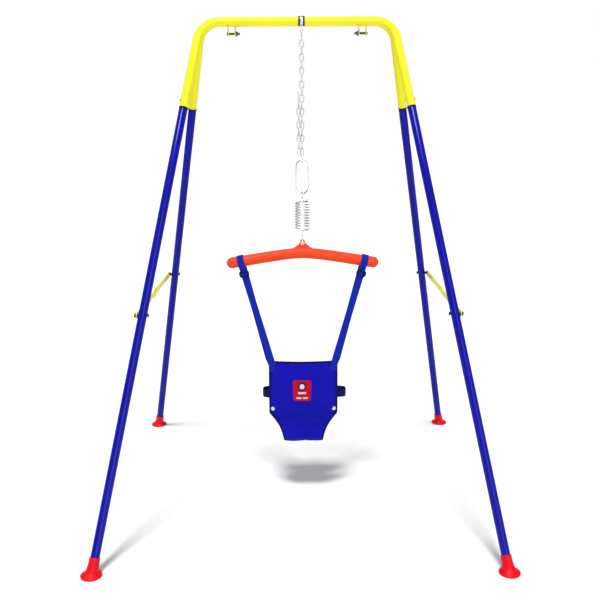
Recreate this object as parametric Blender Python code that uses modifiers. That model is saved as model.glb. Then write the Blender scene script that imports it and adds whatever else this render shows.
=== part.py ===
"""A folding-frame baby jumper: two hinged tube frames, a spring on a chain, a spreader bar and a fabric seat.

Metres, +Z up. The floor is Z 0, X runs to the right, and the front of the jumper faces -Y.
The front frame stands still. The other moving pieces sit under empties on their joints' axes.
"""

import math

import bmesh
import bpy
from mathutils import Matrix, Vector

# Frame: two inverted-U frames that lean on each other
FOOT_SPACING = 1.000
BASE_DEPTH = 1.000
BAR_HEIGHT = 1.315
BAR_SPACING = 0.025
BAR_CORNER_X = 0.2535
TUBE_RADIUS = 0.0111
TUBE_WALL = 0.0012
TUBE_SIDES = 12
BEND_RADIUS = 0.060
BEND_STEPS = 6
JOIN_AT = 0.2386
SWAGE_RADIUS = 0.0093
SWAGE_LENGTH = 0.045
GAP = 0.0003

LEAN = math.atan2(BASE_DEPTH / 2 - BAR_SPACING / 2, BAR_HEIGHT)
PLANE_LENGTH = BAR_HEIGHT / math.cos(LEAN)
SPLAY = math.atan2(FOOT_SPACING / 2 - BAR_CORNER_X, PLANE_LENGTH)
LEG_LENGTH = PLANE_LENGTH / math.cos(SPLAY)

# Joint rings, screws and feet on the legs
RING_HEIGHT = 0.004
RING_RADIUS = 0.0119
SCREW_ABOVE_JOIN = 0.018
SCREW_RADIUS = 0.0018
SCREW_HEAD_RADIUS = 0.0040
SCREW_HEAD_HEIGHT = 0.0024
FOOT_RADIUS = 0.026
FOOT_RIM = 0.005
FOOT_SIDES = 16
FOOT_SLEEVE_TOP = 0.044
FOOT_SLEEVE_RADIUS = 0.0130
FOOT_BORE_RADIUS = 0.01155
FOOT_FLOOR = 0.008

# Fold hinge under the two bars
HINGE_DROP = 0.030
HINGE_Z = BAR_HEIGHT - HINGE_DROP
LUG_OUTER_X = 0.182
LUG_INNER_X = 0.164
LUG_THICKNESS = 0.0026
LUG_BOSS_RADIUS = 0.008
BOLT_RADIUS = 0.0030
BOLT_CLEARANCE = 0.0005
NUT_RADIUS = 0.0062
NUT_HEIGHT = 0.005

# Folding stays outside the legs
STAY_Z = 0.587
STAY_INNER_X = 0.4034
STAY_THICKNESS = 0.0022
STAY_END_RADIUS = 0.008
KNEE_RADIUS = 0.011
RIVET_RADIUS = 0.0045
RIVET_HEIGHT = 0.0032

# Everything that hangs is on this vertical line
HANG_X = 0.0115
HANG_Y = -BAR_SPACING / 2
HANGER_HALF_WIDTH = 0.0036
HANGER_INNER = 0.0115
HANGER_OUTER = 0.01295
HANGER_TAB_HALF = 0.0022
HANGER_HOLE_DROP = 0.0235
HANGER_HOLE_RADIUS = 0.0025
HANGER_TAB_DROP = 0.0285
STOP_RING_OFFSET = 0.0062
STOP_RING_WIDTH = 0.0044

# Chain
TOP_LINK_HEIGHT = 0.0270
TOP_LINK_WIDTH = 0.0120
TOP_LINK_WIRE = 0.0016
LINK_PITCH = 0.0176
LINK_WIDTH = 0.0098
LINK_WIRE = 0.0015
LINK_FUSE = 0.0006
LINK_COUNT = 18
LINK_BOW_STEPS = 4
TAIL_FIRST = 9
TAIL_X = -0.0078
TAIL_Y = -0.0036
TOP_LINK_Z = BAR_HEIGHT - HANGER_HOLE_DROP
CHAIN_Z = TOP_LINK_Z - TOP_LINK_HEIGHT + TOP_LINK_WIRE + LINK_WIRE + GAP
LINK_HEIGHT = LINK_PITCH + 2 * LINK_WIRE - LINK_FUSE
CHAIN_END_Z = CHAIN_Z - (LINK_COUNT - 1) * LINK_PITCH - LINK_HEIGHT

# Carabiner
CARABINER_WIRE = 0.0030
CARABINER_TOP_RADIUS = 0.0150
CARABINER_LOW_RADIUS = 0.0175
CARABINER_HEIGHT = 0.090
CARABINER_TOP_Z = CHAIN_END_Z + LINK_WIRE + CARABINER_WIRE + GAP
CARABINER_LOW_Z = CARABINER_TOP_Z - CARABINER_HEIGHT
GATE_WIRE = 0.0020
GATE_GAP = 0.0014
GATE_CUT = math.radians(12)

# Extension spring
SPRING_RADIUS = 0.0188
SPRING_WIRE = 0.0021
SPRING_TURNS = 10
COIL_TOP_Z = CARABINER_LOW_Z - 0.0225
COIL_LENGTH = 0.0745
COIL_LOW_Z = COIL_TOP_Z - COIL_LENGTH
COIL_STEPS = 10
HOOK_HALF_WIDTH = 0.0085
HOOK_CORNER = 0.0020
HOOK_CLEAR = 0.0008
ARM_CLEAR = 2 * SPRING_WIRE + GAP

# Spreader bar
SPREADER_HALF = 0.212
SPREADER_MID_Z = 0.6990
SPREADER_SLOPE = 0.170
SPREADER_BEND = 0.045
SPREADER_MID_RADIUS = 0.0147
SPREADER_END_RADIUS = 0.0155
SPREADER_STEPS = 14
PEAK_TOP_Z = 0.7383
PEAK_HALF_BASE = 0.031
PEAK_HALF_TOP = 0.0062
PEAK_THICKNESS = 0.011
EYE_Z = 0.7275
EYE_OUTER = 0.0049
EYE_INNER = 0.0031

# Straps
STRAP_WIDTH = 0.019
STRAP_THICKNESS = 0.0014
STRAP_LEAN = math.radians(12)
STRAP_BAR_X = 0.1718
STRAP_BAR_CLEAR = 0.0017
STRAP_ARC_STEPS = 10
STRAP_SEAT_X = 0.0862
STRAP_BACK_OUT = 0.0055
GLIDE_WIDTH = 0.028
GLIDE_HEIGHT = 0.021
GLIDE_DEPTH = 0.0068
GLIDE_SLOT_WIDTH = 0.0208
GLIDE_SLOT_DEPTH = 0.0032
GLIDE_DOWN = 0.0335

# Seat
SEAT_HALF_WIDTH = 0.0968
SEAT_CROTCH_HALF = 0.0560
SEAT_TOP_Z = 0.3970
SEAT_BACK_TOP_Z = 0.362
SEAT_CUT_Z = 0.2445
SEAT_BOTTOM_Z = 0.1515
SEAT_HALF_DEPTH = 0.045
SEAT_BULGE = 0.010
SEAT_WRAP = 1.3
SEAT_CUT_POWER = 2.4
SEAT_CORNER = 0.009
PANEL_THICKNESS = 0.003
PANEL_ROWS = 16
PANEL_COLUMNS = 8
BAND_LOW_Z = 0.2895
BAND_HIGH_Z = 0.3115
BAND_DROP = 0.012
BAND_BULGE = {"left": 0.1150, "right": 0.1215}
BAND_END_X = 0.080
BAND_THICKNESS = 0.0022
SNAP_X = 0.0865
SNAP_Z = 0.2595
SNAP_RADIUS = 0.0055
SNAP_HEIGHT = 0.0026
PATCH_X = -0.003
PATCH_Z = 0.3165
PATCH_WIDTH = 0.053
PATCH_HEIGHT = 0.060
PATCH_THICKNESS = 0.0008

COLOURS = {
    "yellow_enamel": ((0.93, 0.90, 0.03), 0.30, 0.0),
    "blue_enamel": ((0.008, 0.010, 0.42), 0.28, 0.0),
    "red_plastic": ((0.80, 0.006, 0.012), 0.35, 0.0),
    "black_plastic": ((0.010, 0.010, 0.012), 0.45, 0.0),
    "black_rubber": ((0.015, 0.013, 0.010), 0.70, 0.0),
    "zinc_steel": ((0.62, 0.62, 0.64), 0.30, 1.0),
    "chrome": ((0.80, 0.80, 0.82), 0.12, 1.0),
    "dark_steel": ((0.06, 0.06, 0.065), 0.40, 1.0),
    "orange_plastic": ((0.91, 0.065, 0.012), 0.32, 0.0),
    "strap_webbing": ((0.010, 0.030, 0.50), 0.80, 0.0),
    "seat_fabric": ((0.012, 0.012, 0.55), 0.85, 0.0),
    "navy_webbing": ((0.006, 0.006, 0.10), 0.80, 0.0),
    "navy_plastic": ((0.006, 0.008, 0.11), 0.35, 0.0),
    "patch_fabric": ((0.60, 0.010, 0.025), 0.80, 0.0),
    "snap_plastic": ((0.74, 0.74, 0.90), 0.30, 0.0),
}


def clear_scene():
    for item in list(bpy.data.objects):
        bpy.data.objects.remove(item, do_unlink=True)


def make_collection(name):
    collection = bpy.data.collections.new(name)
    bpy.context.scene.collection.children.link(collection)
    return collection


def make_material(name, colour, roughness, metallic):
    material = bpy.data.materials.new(name)
    material.use_nodes = True
    shader = material.node_tree.nodes["Principled BSDF"]
    shader.inputs["Base Color"].default_value = (*colour, 1.0)
    shader.inputs["Roughness"].default_value = roughness
    shader.inputs["Metallic"].default_value = metallic
    material.diffuse_color = (*colour, 1.0)
    return material


clear_scene()
PARTS = make_collection("baby_jumper")
CUTTERS = make_collection("cutters")
MATERIALS = {name: make_material(name, *values) for name, values in COLOURS.items()}


def place(item, parent=None, location=(0, 0, 0), rotation=(0, 0, 0)):
    item.parent = parent
    item.location = location
    item.rotation_euler = rotation
    bpy.context.view_layer.update()
    return item


def add_part(name, data, material, **where):
    item = bpy.data.objects.new(name, data)
    data.materials.append(MATERIALS[material])
    PARTS.objects.link(item)
    return place(item, **where)


def add_helper(name, data, collection=None, **where):
    item = bpy.data.objects.new(name, data)
    (collection or CUTTERS).objects.link(item)
    item.hide_render = True
    item.display_type = "WIRE"
    return place(item, **where)


def add_empty(name, **where):
    item = bpy.data.objects.new(name, None)
    item.empty_display_size = 0.03
    PARTS.objects.link(item)
    return place(item, **where)


def boolean(item, other, operation="DIFFERENCE"):
    modifier = item.modifiers.new(f"{operation.lower()}_{other.name}", "BOOLEAN")
    modifier.operation = operation
    modifier.object = other
    modifier.solver = "EXACT"


def solidify(item, thickness, offset=0.0):
    modifier = item.modifiers.new("thickness", "SOLIDIFY")
    modifier.thickness = thickness
    modifier.offset = offset
    modifier.use_even_offset = True


def smooth(mesh, degrees=35):
    mesh.shade_smooth()
    mesh.set_sharp_from_angle(angle=math.radians(degrees))


def cylinder_mesh(name, radius, length, segments=12):
    """A closed cylinder along Z, centred on the origin."""
    bm = bmesh.new()
    bmesh.ops.create_cone(
        bm, cap_ends=True, segments=segments, radius1=radius, radius2=radius, depth=length
    )
    mesh = bpy.data.meshes.new(name)
    bm.to_mesh(mesh)
    bm.free()
    return mesh


def turned_mesh(name, profile, closed=False):
    """The outline (radius, z) that a Screw modifier turns, listed down the outer side."""
    bm = bmesh.new()
    points = [bm.verts.new((radius, 0, z)) for radius, z in profile]
    for first, second in zip(points, points[1:]):
        bm.edges.new((first, second))
    if closed:
        bm.edges.new((points[-1], points[0]))
    mesh = bpy.data.meshes.new(name)
    bm.to_mesh(mesh)
    bm.free()
    return mesh


def turn(item, steps):
    modifier = item.modifiers.new("turn", "SCREW")
    modifier.axis = "Z"
    modifier.steps = steps
    modifier.render_steps = steps
    modifier.use_merge_vertices = True
    modifier.merge_threshold = 0.00001
    modifier.use_smooth_shade = True
    return item


def turned_part(name, profile, material, steps=12, closed=False, **where):
    return turn(add_part(name, turned_mesh(name, profile, closed), material, **where), steps)


def tube_profile(outer, inner, high, low):
    return [(outer, high), (outer, low), (inner, low), (inner, high)]


def wire_data(name, points, radius, cyclic=False, caps=True, resolution=2, thickness=None):
    """A curve through the points with a round section; thickness scales it at each point."""
    data = bpy.data.curves.new(name, "CURVE")
    data.dimensions = "3D"
    data.bevel_depth = radius
    data.bevel_resolution = resolution
    data.use_fill_caps = caps and not cyclic
    spline = data.splines.new("POLY")
    spline.points.add(len(points) - 1)
    for index, point in enumerate(points):
        spline.points[index].co = (*point, 1.0)
        spline.points[index].radius = thickness[index] if thickness else 1.0
    spline.use_cyclic_u = cyclic
    return data


def plate_data(name, outlines, thickness):
    """A flat outline, with any holes as further outlines, in XY and centred on it in Z."""
    data = bpy.data.curves.new(name, "CURVE")
    data.dimensions = "2D"
    data.fill_mode = "BOTH"
    data.extrude = thickness / 2
    for outline in outlines:
        spline = data.splines.new("POLY")
        spline.points.add(len(outline) - 1)
        for point, (x, y) in zip(spline.points, outline):
            point.co = (x, y, 0.0, 1.0)
        spline.use_cyclic_u = True
    return data


def mesh_of(name, curve):
    """The curve's evaluated mesh with its caps welded; the curve itself is dropped."""
    holder = bpy.data.objects.new(name, curve)
    CUTTERS.objects.link(holder)
    bpy.context.view_layer.update()
    evaluated = holder.evaluated_get(bpy.context.evaluated_depsgraph_get())
    mesh = bpy.data.meshes.new_from_object(evaluated)
    bpy.data.objects.remove(holder, do_unlink=True)
    bm = bmesh.new()
    bm.from_mesh(mesh)
    bmesh.ops.remove_doubles(bm, verts=bm.verts, dist=0.00001)
    bmesh.ops.recalc_face_normals(bm, faces=bm.faces)
    bm.to_mesh(mesh)
    bm.free()
    mesh.materials.clear()
    smooth(mesh)
    return mesh


def grid_mesh(name, rows):
    """An open sheet through rows of points, every row as long as the next."""
    bm = bmesh.new()
    grid = [[bm.verts.new(point) for point in row] for row in rows]
    for low, high in zip(grid, grid[1:]):
        for index in range(len(low) - 1):
            bm.faces.new((low[index], low[index + 1], high[index + 1], high[index]))
    mesh = bpy.data.meshes.new(name)
    bm.to_mesh(mesh)
    bm.free()
    smooth(mesh)
    return mesh


def arc(centre, radius, start, end, steps):
    """Points on an arc in a plane, angles in degrees."""
    angles = [math.radians(start + (end - start) * step / steps) for step in range(steps + 1)]
    return [
        (centre[0] + radius * math.cos(angle), centre[1] + radius * math.sin(angle))
        for angle in angles
    ]


ACROSS = (math.pi / 2, 0, math.pi / 2)  # a flat outline's XY becomes world YZ
SIDES = (("left", -1), ("right", 1))


def make_frame_axes():
    """Empties: the fold axis, each frame's own plane, and each leg's own axis."""
    axes = {}
    hinge = add_empty("fold_axis", location=(0, 0, HINGE_Z))
    axes["front"] = add_empty(
        "front_plane", location=(0, -BAR_SPACING / 2, BAR_HEIGHT), rotation=(-LEAN, 0, 0)
    )
    axes["rear"] = add_empty(
        "rear_plane",
        parent=hinge,
        location=(0, BAR_SPACING / 2, HINGE_DROP),
        rotation=(LEAN, 0, 0),
    )
    for end in ("front", "rear"):
        for side, sign in SIDES:
            axes[end, side] = add_empty(
                f"{end}_{side}_leg_axis",
                parent=axes[end],
                location=(sign * BAR_CORNER_X, 0, 0),
                rotation=(0, -sign * SPLAY, 0),
            )
    return hinge, axes


def top_tube_points():
    """The inverted U in its own plane: down to the joins, with a round bend at each corner."""
    turn_angle = math.pi / 2 - SPLAY
    tangent = BEND_RADIUS * math.tan(turn_angle / 2)
    bend_x = BAR_CORNER_X - tangent
    end = (
        BAR_CORNER_X + JOIN_AT * math.sin(SPLAY),
        -JOIN_AT * math.cos(SPLAY),
    )
    bend = arc((bend_x, -BEND_RADIUS), BEND_RADIUS, 90, 90 - math.degrees(turn_angle), BEND_STEPS)
    right = bend + [end]
    left = [(-x, z) for x, z in reversed(right)]
    return [(x, 0, z) for x, z in left + right]


def make_top_tube(end, axes):
    points = top_tube_points()
    curve = wire_data(f"{end}_top_tube", points, TUBE_RADIUS, caps=False, resolution=4)
    mesh = mesh_of(f"{end}_top_tube", curve)
    tube = add_part(f"{end}_top_tube", mesh, "yellow_enamel", parent=axes[end])
    solidify(tube, TUBE_WALL, offset=-1.0)
    return tube


def make_leg(end, side, axis):
    shoulder = JOIN_AT + RING_HEIGHT + 2 * GAP
    taper = 0.002
    low = LEG_LENGTH - FOOT_FLOOR - GAP
    high = JOIN_AT - SWAGE_LENGTH
    outer = [(SWAGE_RADIUS, -high), (SWAGE_RADIUS, -shoulder)]
    outer += [(TUBE_RADIUS, -shoulder - taper), (TUBE_RADIUS, -low)]
    inner = [(TUBE_RADIUS - TUBE_WALL, -low), (TUBE_RADIUS - TUBE_WALL, -shoulder - 2 * taper)]
    inner += [(SWAGE_RADIUS - TUBE_WALL, -shoulder - taper), (SWAGE_RADIUS - TUBE_WALL, -high)]
    return turned_part(
        f"{end}_{side}_leg", outer + inner, "blue_enamel", TUBE_SIDES, closed=True, parent=axis
    )


def make_joint_ring(end, side, axis):
    profile = tube_profile(
        RING_RADIUS, SWAGE_RADIUS + 2 * GAP, -JOIN_AT - GAP, -JOIN_AT - GAP - RING_HEIGHT
    )
    name = f"{end}_{side}_joint_ring"
    turned_part(name, profile, "black_plastic", TUBE_SIDES, closed=True, parent=axis)


def make_screw(end, side, sign, axis, tube, leg):
    """A pan-head screw on the leg's outer side, through the top tube's wall and the swage."""
    height = -JOIN_AT + SCREW_ABOVE_JOIN
    seat = TUBE_RADIUS + GAP
    tip = SWAGE_RADIUS - TUBE_WALL - 0.001
    head = seat + SCREW_HEAD_HEIGHT
    profile = [(0, head), (0.6 * SCREW_HEAD_RADIUS, head), (SCREW_HEAD_RADIUS, head - 0.0012)]
    profile += [(SCREW_HEAD_RADIUS, seat), (SCREW_RADIUS, seat), (SCREW_RADIUS, tip), (0, tip)]
    name = f"{end}_{side}_screw"
    where = {"parent": axis, "location": (0, 0, height), "rotation": (0, sign * math.pi / 2, 0)}
    turned_part(name, profile, "zinc_steel", 10, **where)
    middle = sign * (tip + seat) / 2
    where["location"] = (middle, 0, height)
    hole = cylinder_mesh(f"{name}_hole", SCREW_RADIUS + 2 * GAP, seat - tip + 0.004)
    cutter = add_helper(f"{name}_hole", hole, **where)
    boolean(tube, cutter)
    boolean(leg, cutter)


def make_foot(end, side, sign, axis):
    """A flared rubbery foot: a flat round base on the floor and a sleeve along the leg."""
    depth = -1 if end == "front" else 1
    base = [(0, 0.010), (0.6 * FOOT_RADIUS, 0.0095), (0.85 * FOOT_RADIUS, FOOT_RIM + 0.0015)]
    base += [(FOOT_RADIUS, FOOT_RIM - 0.001), (FOOT_RADIUS, 0.001), (FOOT_RADIUS - 0.001, 0), (0, 0)]
    name = f"{end}_{side}_foot"
    foot = turned_part(name, base, "red_plastic", FOOT_SIDES)
    spot = Vector((sign * FOOT_SPACING / 2, depth * BASE_DEPTH / 2, 0))
    foot.parent = axis
    foot.matrix_parent_inverse = axis.matrix_world.inverted()
    foot.location = spot
    low = -LEG_LENGTH + 0.0085
    high = -LEG_LENGTH + FOOT_SLEEVE_TOP
    sleeve = [(0, high), (FOOT_SLEEVE_RADIUS - 0.0006, high), (FOOT_SLEEVE_RADIUS, high - 0.001)]
    sleeve += [(FOOT_SLEEVE_RADIUS + 0.0008, low + 0.012), (FOOT_SLEEVE_RADIUS + 0.003, low), (0, low)]
    sleeve_item = add_helper(f"{name}_sleeve", turned_mesh(f"{name}_sleeve", sleeve), parent=axis)
    boolean(foot, turn(sleeve_item, FOOT_SIDES), "UNION")
    bore_low = -LEG_LENGTH + FOOT_FLOOR
    bore_high = high + 0.01
    bore = cylinder_mesh(f"{name}_bore", FOOT_BORE_RADIUS, bore_high - bore_low, FOOT_SIDES)
    middle = (0, 0, (bore_low + bore_high) / 2)
    boolean(foot, add_helper(f"{name}_bore", bore, parent=axis, location=middle))


def lug_outline(depth):
    """A plate from the fold bolt up to the underside of its own bar, in YZ about the bolt."""
    bar = (depth * BAR_SPACING / 2, HINGE_DROP)
    saddle = arc(bar, TUBE_RADIUS + GAP, -128, -48, 6)
    boss = arc((0, 0), LUG_BOSS_RADIUS, 0, -180, 8)
    if depth > 0:
        saddle = arc(bar, TUBE_RADIUS + GAP, -132, -52, 6)
    return saddle + boss


def make_fold_hinges(hinge):
    """On each side a lug under each bar, and a bolt through both with its nut on the inside."""
    hole = arc((0, 0), BOLT_RADIUS + BOLT_CLEARANCE, 0, 330, 11)
    half = LUG_THICKNESS / 2
    for side, sign in SIDES:
        for end, depth, x in (("front", -1, LUG_OUTER_X), ("rear", 1, LUG_INNER_X)):
            outline = lug_outline(depth)
            name = f"{end}_{side}_lug"
            mesh = mesh_of(name, plate_data(name, [outline, hole], LUG_THICKNESS))
            parent = hinge if end == "rear" else None
            height = 0 if parent else HINGE_Z
            spot = (sign * x, 0, height)
            add_part(name, mesh, "yellow_enamel", parent=parent, location=spot, rotation=ACROSS)
        tip = LUG_INNER_X - 0.0125
        under_head = LUG_OUTER_X + half + GAP
        head = under_head + 0.0030
        profile = [(0, head), (0.003, head - 0.0003), (0.0052, under_head + 0.001)]
        profile += [(0.0052, under_head), (BOLT_RADIUS, under_head), (BOLT_RADIUS, tip), (0, tip)]
        where = {"location": (0, 0, HINGE_Z), "rotation": (0, sign * math.pi / 2, 0)}
        turned_part(f"fold_bolt_{side}", profile, "dark_steel", 12, **where)
        high = LUG_INNER_X - half - GAP
        nut = tube_profile(NUT_RADIUS, BOLT_RADIUS + 0.0009, high, high - NUT_HEIGHT)
        turned_part(f"fold_nut_{side}", nut, "dark_steel", 6, closed=True, **where)


def stay_spot(depth):
    """Where the stay's pivot crosses the leg's axis: (x, y)."""
    share = STAY_Z / BAR_HEIGHT
    x = FOOT_SPACING / 2 - (FOOT_SPACING / 2 - BAR_CORNER_X) * share
    y = BASE_DEPTH / 2 - (BASE_DEPTH / 2 - BAR_SPACING / 2) * share
    return x, depth * y


def make_stay_bolt(end, side, sign, depth, leg, axis):
    x, y = stay_spot(depth)
    inner = x - TUBE_RADIUS - 0.0016
    strip = STAY_INNER_X + (STAY_THICKNESS if end == "front" else 2 * STAY_THICKNESS + GAP)
    cap = strip + GAP
    collar_low = STAY_INNER_X - 0.0009
    collar_high = STAY_INNER_X + (0 if end == "front" else STAY_THICKNESS + GAP) - GAP
    profile = [(0, cap + 0.005), (0.0035, cap + 0.005), (0.0060, cap + 0.003), (0.0060, cap)]
    profile += [(BOLT_RADIUS, cap), (BOLT_RADIUS, collar_high), (0.0048, collar_high)]
    profile += [(0.0048, collar_low), (BOLT_RADIUS, collar_low), (BOLT_RADIUS, inner)]
    profile += [(0.0050, inner), (0.0050, inner - 0.0015), (0.003, inner - 0.003), (0, inner - 0.003)]
    name = f"{end}_{side}_stay_bolt"
    bolt = turned_part(name, profile, "black_plastic", 8, rotation=(0, sign * math.pi / 2, 0))
    bolt.parent = axis
    bolt.matrix_parent_inverse = axis.matrix_world.inverted()
    bolt.location = (0, y, STAY_Z)
    hole = cylinder_mesh(f"{name}_hole", BOLT_RADIUS + BOLT_CLEARANCE, 0.05)
    where = {"location": (sign * x, y, STAY_Z), "rotation": (0, math.pi / 2, 0)}
    boolean(leg, add_helper(f"{name}_hole", hole, **where))


def make_stay(end, side, sign, depth, hinge):
    """Half of a folding stay, from its pivot on the leg to the knee in the middle."""
    _, y = stay_spot(depth)
    length = abs(y)
    toward = -depth
    neck = 0.030
    strip = arc((0, 0), STAY_END_RADIUS, 90, 270, 8)
    shoulder = length - neck
    knee = arc((length, 0), KNEE_RADIUS, -100, 100, 10)
    outline = strip + [(shoulder, -STAY_END_RADIUS)] + knee + [(shoulder, STAY_END_RADIUS)]
    outline = [(toward * along, up) for along, up in outline]
    hole = arc((0, 0), BOLT_RADIUS + BOLT_CLEARANCE, 0, 330, 11)
    name = f"{end}_{side}_stay"
    low = STAY_INNER_X + (0 if end == "front" else STAY_THICKNESS + GAP)
    mesh = mesh_of(name, plate_data(name, [outline, hole], STAY_THICKNESS))
    where = {"location": (sign * (low + STAY_THICKNESS / 2), y, STAY_Z), "rotation": ACROSS}
    stay = add_part(name, mesh, "yellow_enamel", **where)
    outward = sign if end == "rear" else -sign
    rivet = [(0, RIVET_HEIGHT), (0.6 * RIVET_RADIUS, RIVET_HEIGHT), (RIVET_RADIUS, 0.45 * RIVET_HEIGHT)]
    rivet += [(RIVET_RADIUS, -0.001), (0, -0.001)]
    face = low + (STAY_THICKNESS if end == "rear" else 0)
    spot = (sign * face, 0, STAY_Z)
    tilt = (0, outward * math.pi / 2, 0)
    head = add_helper(f"{name}_rivet", turned_mesh(f"{name}_rivet", rivet), location=spot, rotation=tilt)
    boolean(stay, turn(head, 12), "UNION")
    if end == "rear":
        stay.parent = hinge
        stay.matrix_parent_inverse = hinge.matrix_world.inverted()
        bpy.context.view_layer.update()


def make_frames():
    hinge, axes = make_frame_axes()
    for end, depth in (("front", -1), ("rear", 1)):
        tube = make_top_tube(end, axes)
        for side, sign in SIDES:
            axis = axes[end, side]
            leg = make_leg(end, side, axis)
            make_joint_ring(end, side, axis)
            make_screw(end, side, sign, axis, tube, leg)
            make_foot(end, side, sign, axis)
            make_stay_bolt(end, side, sign, depth, leg, axis)
            make_stay(end, side, sign, depth, hinge)
    make_fold_hinges(hinge)


def make_hanger():
    """A steel strap round the front bar with a tab below it, between two rubber stop rings."""
    meet = math.degrees(math.asin(HANGER_TAB_HALF / HANGER_OUTER))
    outer = arc((0, 0), HANGER_OUTER, -90 + meet, 270 - meet, 24)
    outer += [(-HANGER_TAB_HALF, -HANGER_TAB_DROP + 0.001), (-HANGER_TAB_HALF + 0.001, -HANGER_TAB_DROP)]
    outer += [(HANGER_TAB_HALF - 0.001, -HANGER_TAB_DROP), (HANGER_TAB_HALF, -HANGER_TAB_DROP + 0.001)]
    inner = arc((0, 0), HANGER_INNER, 0, 345, 23)
    mesh = mesh_of("hanger_strap", plate_data("hanger_strap", [outer, inner], 2 * HANGER_HALF_WIDTH))
    bar = (HANG_X, HANG_Y, BAR_HEIGHT)
    hanger = add_part("hanger_strap", mesh, "zinc_steel", location=bar, rotation=ACROSS)
    hole = cylinder_mesh("hanger_hole", HANGER_HOLE_RADIUS, 0.02, 16)
    spot = (HANG_X, HANG_Y, TOP_LINK_Z)
    boolean(hanger, add_helper("hanger_hole", hole, location=spot, rotation=(math.pi / 2, 0, 0)))
    for side, sign in SIDES:
        half = STOP_RING_WIDTH / 2
        profile = [(HANGER_OUTER - 0.0006, half), (HANGER_OUTER, half - 0.0006)]
        profile += [(HANGER_OUTER, -half + 0.0006), (HANGER_OUTER - 0.0006, -half)]
        profile += [(HANGER_INNER, -half), (HANGER_INNER, half)]
        where = {"location": (HANG_X + sign * STOP_RING_OFFSET, HANG_Y, BAR_HEIGHT)}
        where["rotation"] = (0, math.pi / 2, 0)
        turned_part(f"stop_ring_{side}", profile, "black_rubber", 18, closed=True, **where)


def link_points(top, height, width, steps, across):
    """A closed oval link that hangs from its top bow's centre; across picks the XZ plane."""
    radius = width / 2
    high = arc((0, top - radius), radius, 0, 180, steps)
    low = arc((0, top - height + radius), radius, 180, 360, steps)
    flat = high + low
    return [(u, 0, z) if across else (0, u, z) for u, z in flat]


def make_top_link():
    points = link_points(0, TOP_LINK_HEIGHT, TOP_LINK_WIDTH, 6, across=False)
    data = wire_data("top_link", points, TOP_LINK_WIRE, cyclic=True)
    mesh = mesh_of("top_link", data)
    add_part("top_link", mesh, "zinc_steel", location=(HANG_X, HANG_Y, TOP_LINK_Z))


def link_mesh(name, number):
    """Link number 0 is the top one, and every second link stands across."""
    top = -number * LINK_PITCH
    points = link_points(top, LINK_HEIGHT, LINK_WIDTH, LINK_BOW_STEPS, across=number % 2 == 0)
    return mesh_of(name, wire_data(name, points, LINK_WIRE, cyclic=True, resolution=0))


def make_strand(name, numbers, x, y, extra=()):
    """A run of links, each fused to the next where they bear on each other."""
    spot = (HANG_X + x, HANG_Y + y, CHAIN_Z)
    strand = add_part(name, link_mesh(name, numbers[0]), "zinc_steel", location=spot)
    links = bpy.data.collections.new(f"{name}_links")
    CUTTERS.children.link(links)
    for number in numbers[1:]:
        link_name = f"{name}_link_{number}"
        add_helper(link_name, link_mesh(link_name, number), links, location=spot)
    for mesh in extra:
        add_helper(mesh.name, mesh, links, location=spot)
    modifier = strand.modifiers.new("links", "BOOLEAN")
    modifier.operation = "UNION"
    modifier.operand_type = "COLLECTION"
    modifier.collection = links
    modifier.solver = "EXACT"


def make_chain():
    """The load strand, and the spare end brought up beside it and hooked back into it."""
    make_strand("chain", list(range(LINK_COUNT)), 0, 0)
    bow = -TAIL_FIRST * LINK_PITCH
    window = -(TAIL_FIRST - 2) * LINK_PITCH - LINK_HEIGHT / 2
    hook_y = -TAIL_Y - 0.0017
    out = -0.0015
    hook = [(0, 0, bow - 0.0005), (out, hook_y * 0.5, bow + 0.006), (out, hook_y, window - 0.004)]
    hook += [(out + 0.001, hook_y, window - 0.001), (out + 0.003, hook_y, window)]
    hook += [(-TAIL_X + 0.0032, hook_y, window), (-TAIL_X + 0.0045, hook_y, window + 0.002)]
    data = wire_data("tail_hook", hook, 0.0011, resolution=1)
    numbers = list(range(TAIL_FIRST, LINK_COUNT - 1))
    make_strand("chain_tail", numbers, TAIL_X, TAIL_Y, [mesh_of("tail_hook", data)])


def make_carabiner():
    """A pear-shaped snap hook with a gate that opens inwards on its right side."""
    high = -CARABINER_TOP_RADIUS
    low = -CARABINER_HEIGHT + CARABINER_LOW_RADIUS
    cut = math.degrees(GATE_CUT)
    top = arc((0, high), CARABINER_TOP_RADIUS, cut, 180, 9)
    bottom = arc((0, low), CARABINER_LOW_RADIUS, 180, 360 - cut, 9)
    points = [(x, 0, z) for x, z in top + bottom]
    spot = (HANG_X, HANG_Y, CARABINER_TOP_Z)
    mesh = mesh_of("carabiner", wire_data("carabiner", points, CARABINER_WIRE))
    add_part("carabiner", mesh, "chrome", location=spot)
    pivot = Vector((bottom[-1][0], 0, bottom[-1][1] + GATE_GAP))
    tip = Vector((top[0][0], 0, top[0][1] - GATE_GAP))
    rod = [(0, 0, 0), tuple(tip - pivot)]
    where = {"location": Vector(spot) + pivot}
    gate = mesh_of("carabiner_gate", wire_data("carabiner_gate", rod, GATE_WIRE))
    add_part("carabiner_gate", gate, "chrome", **where)


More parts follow.
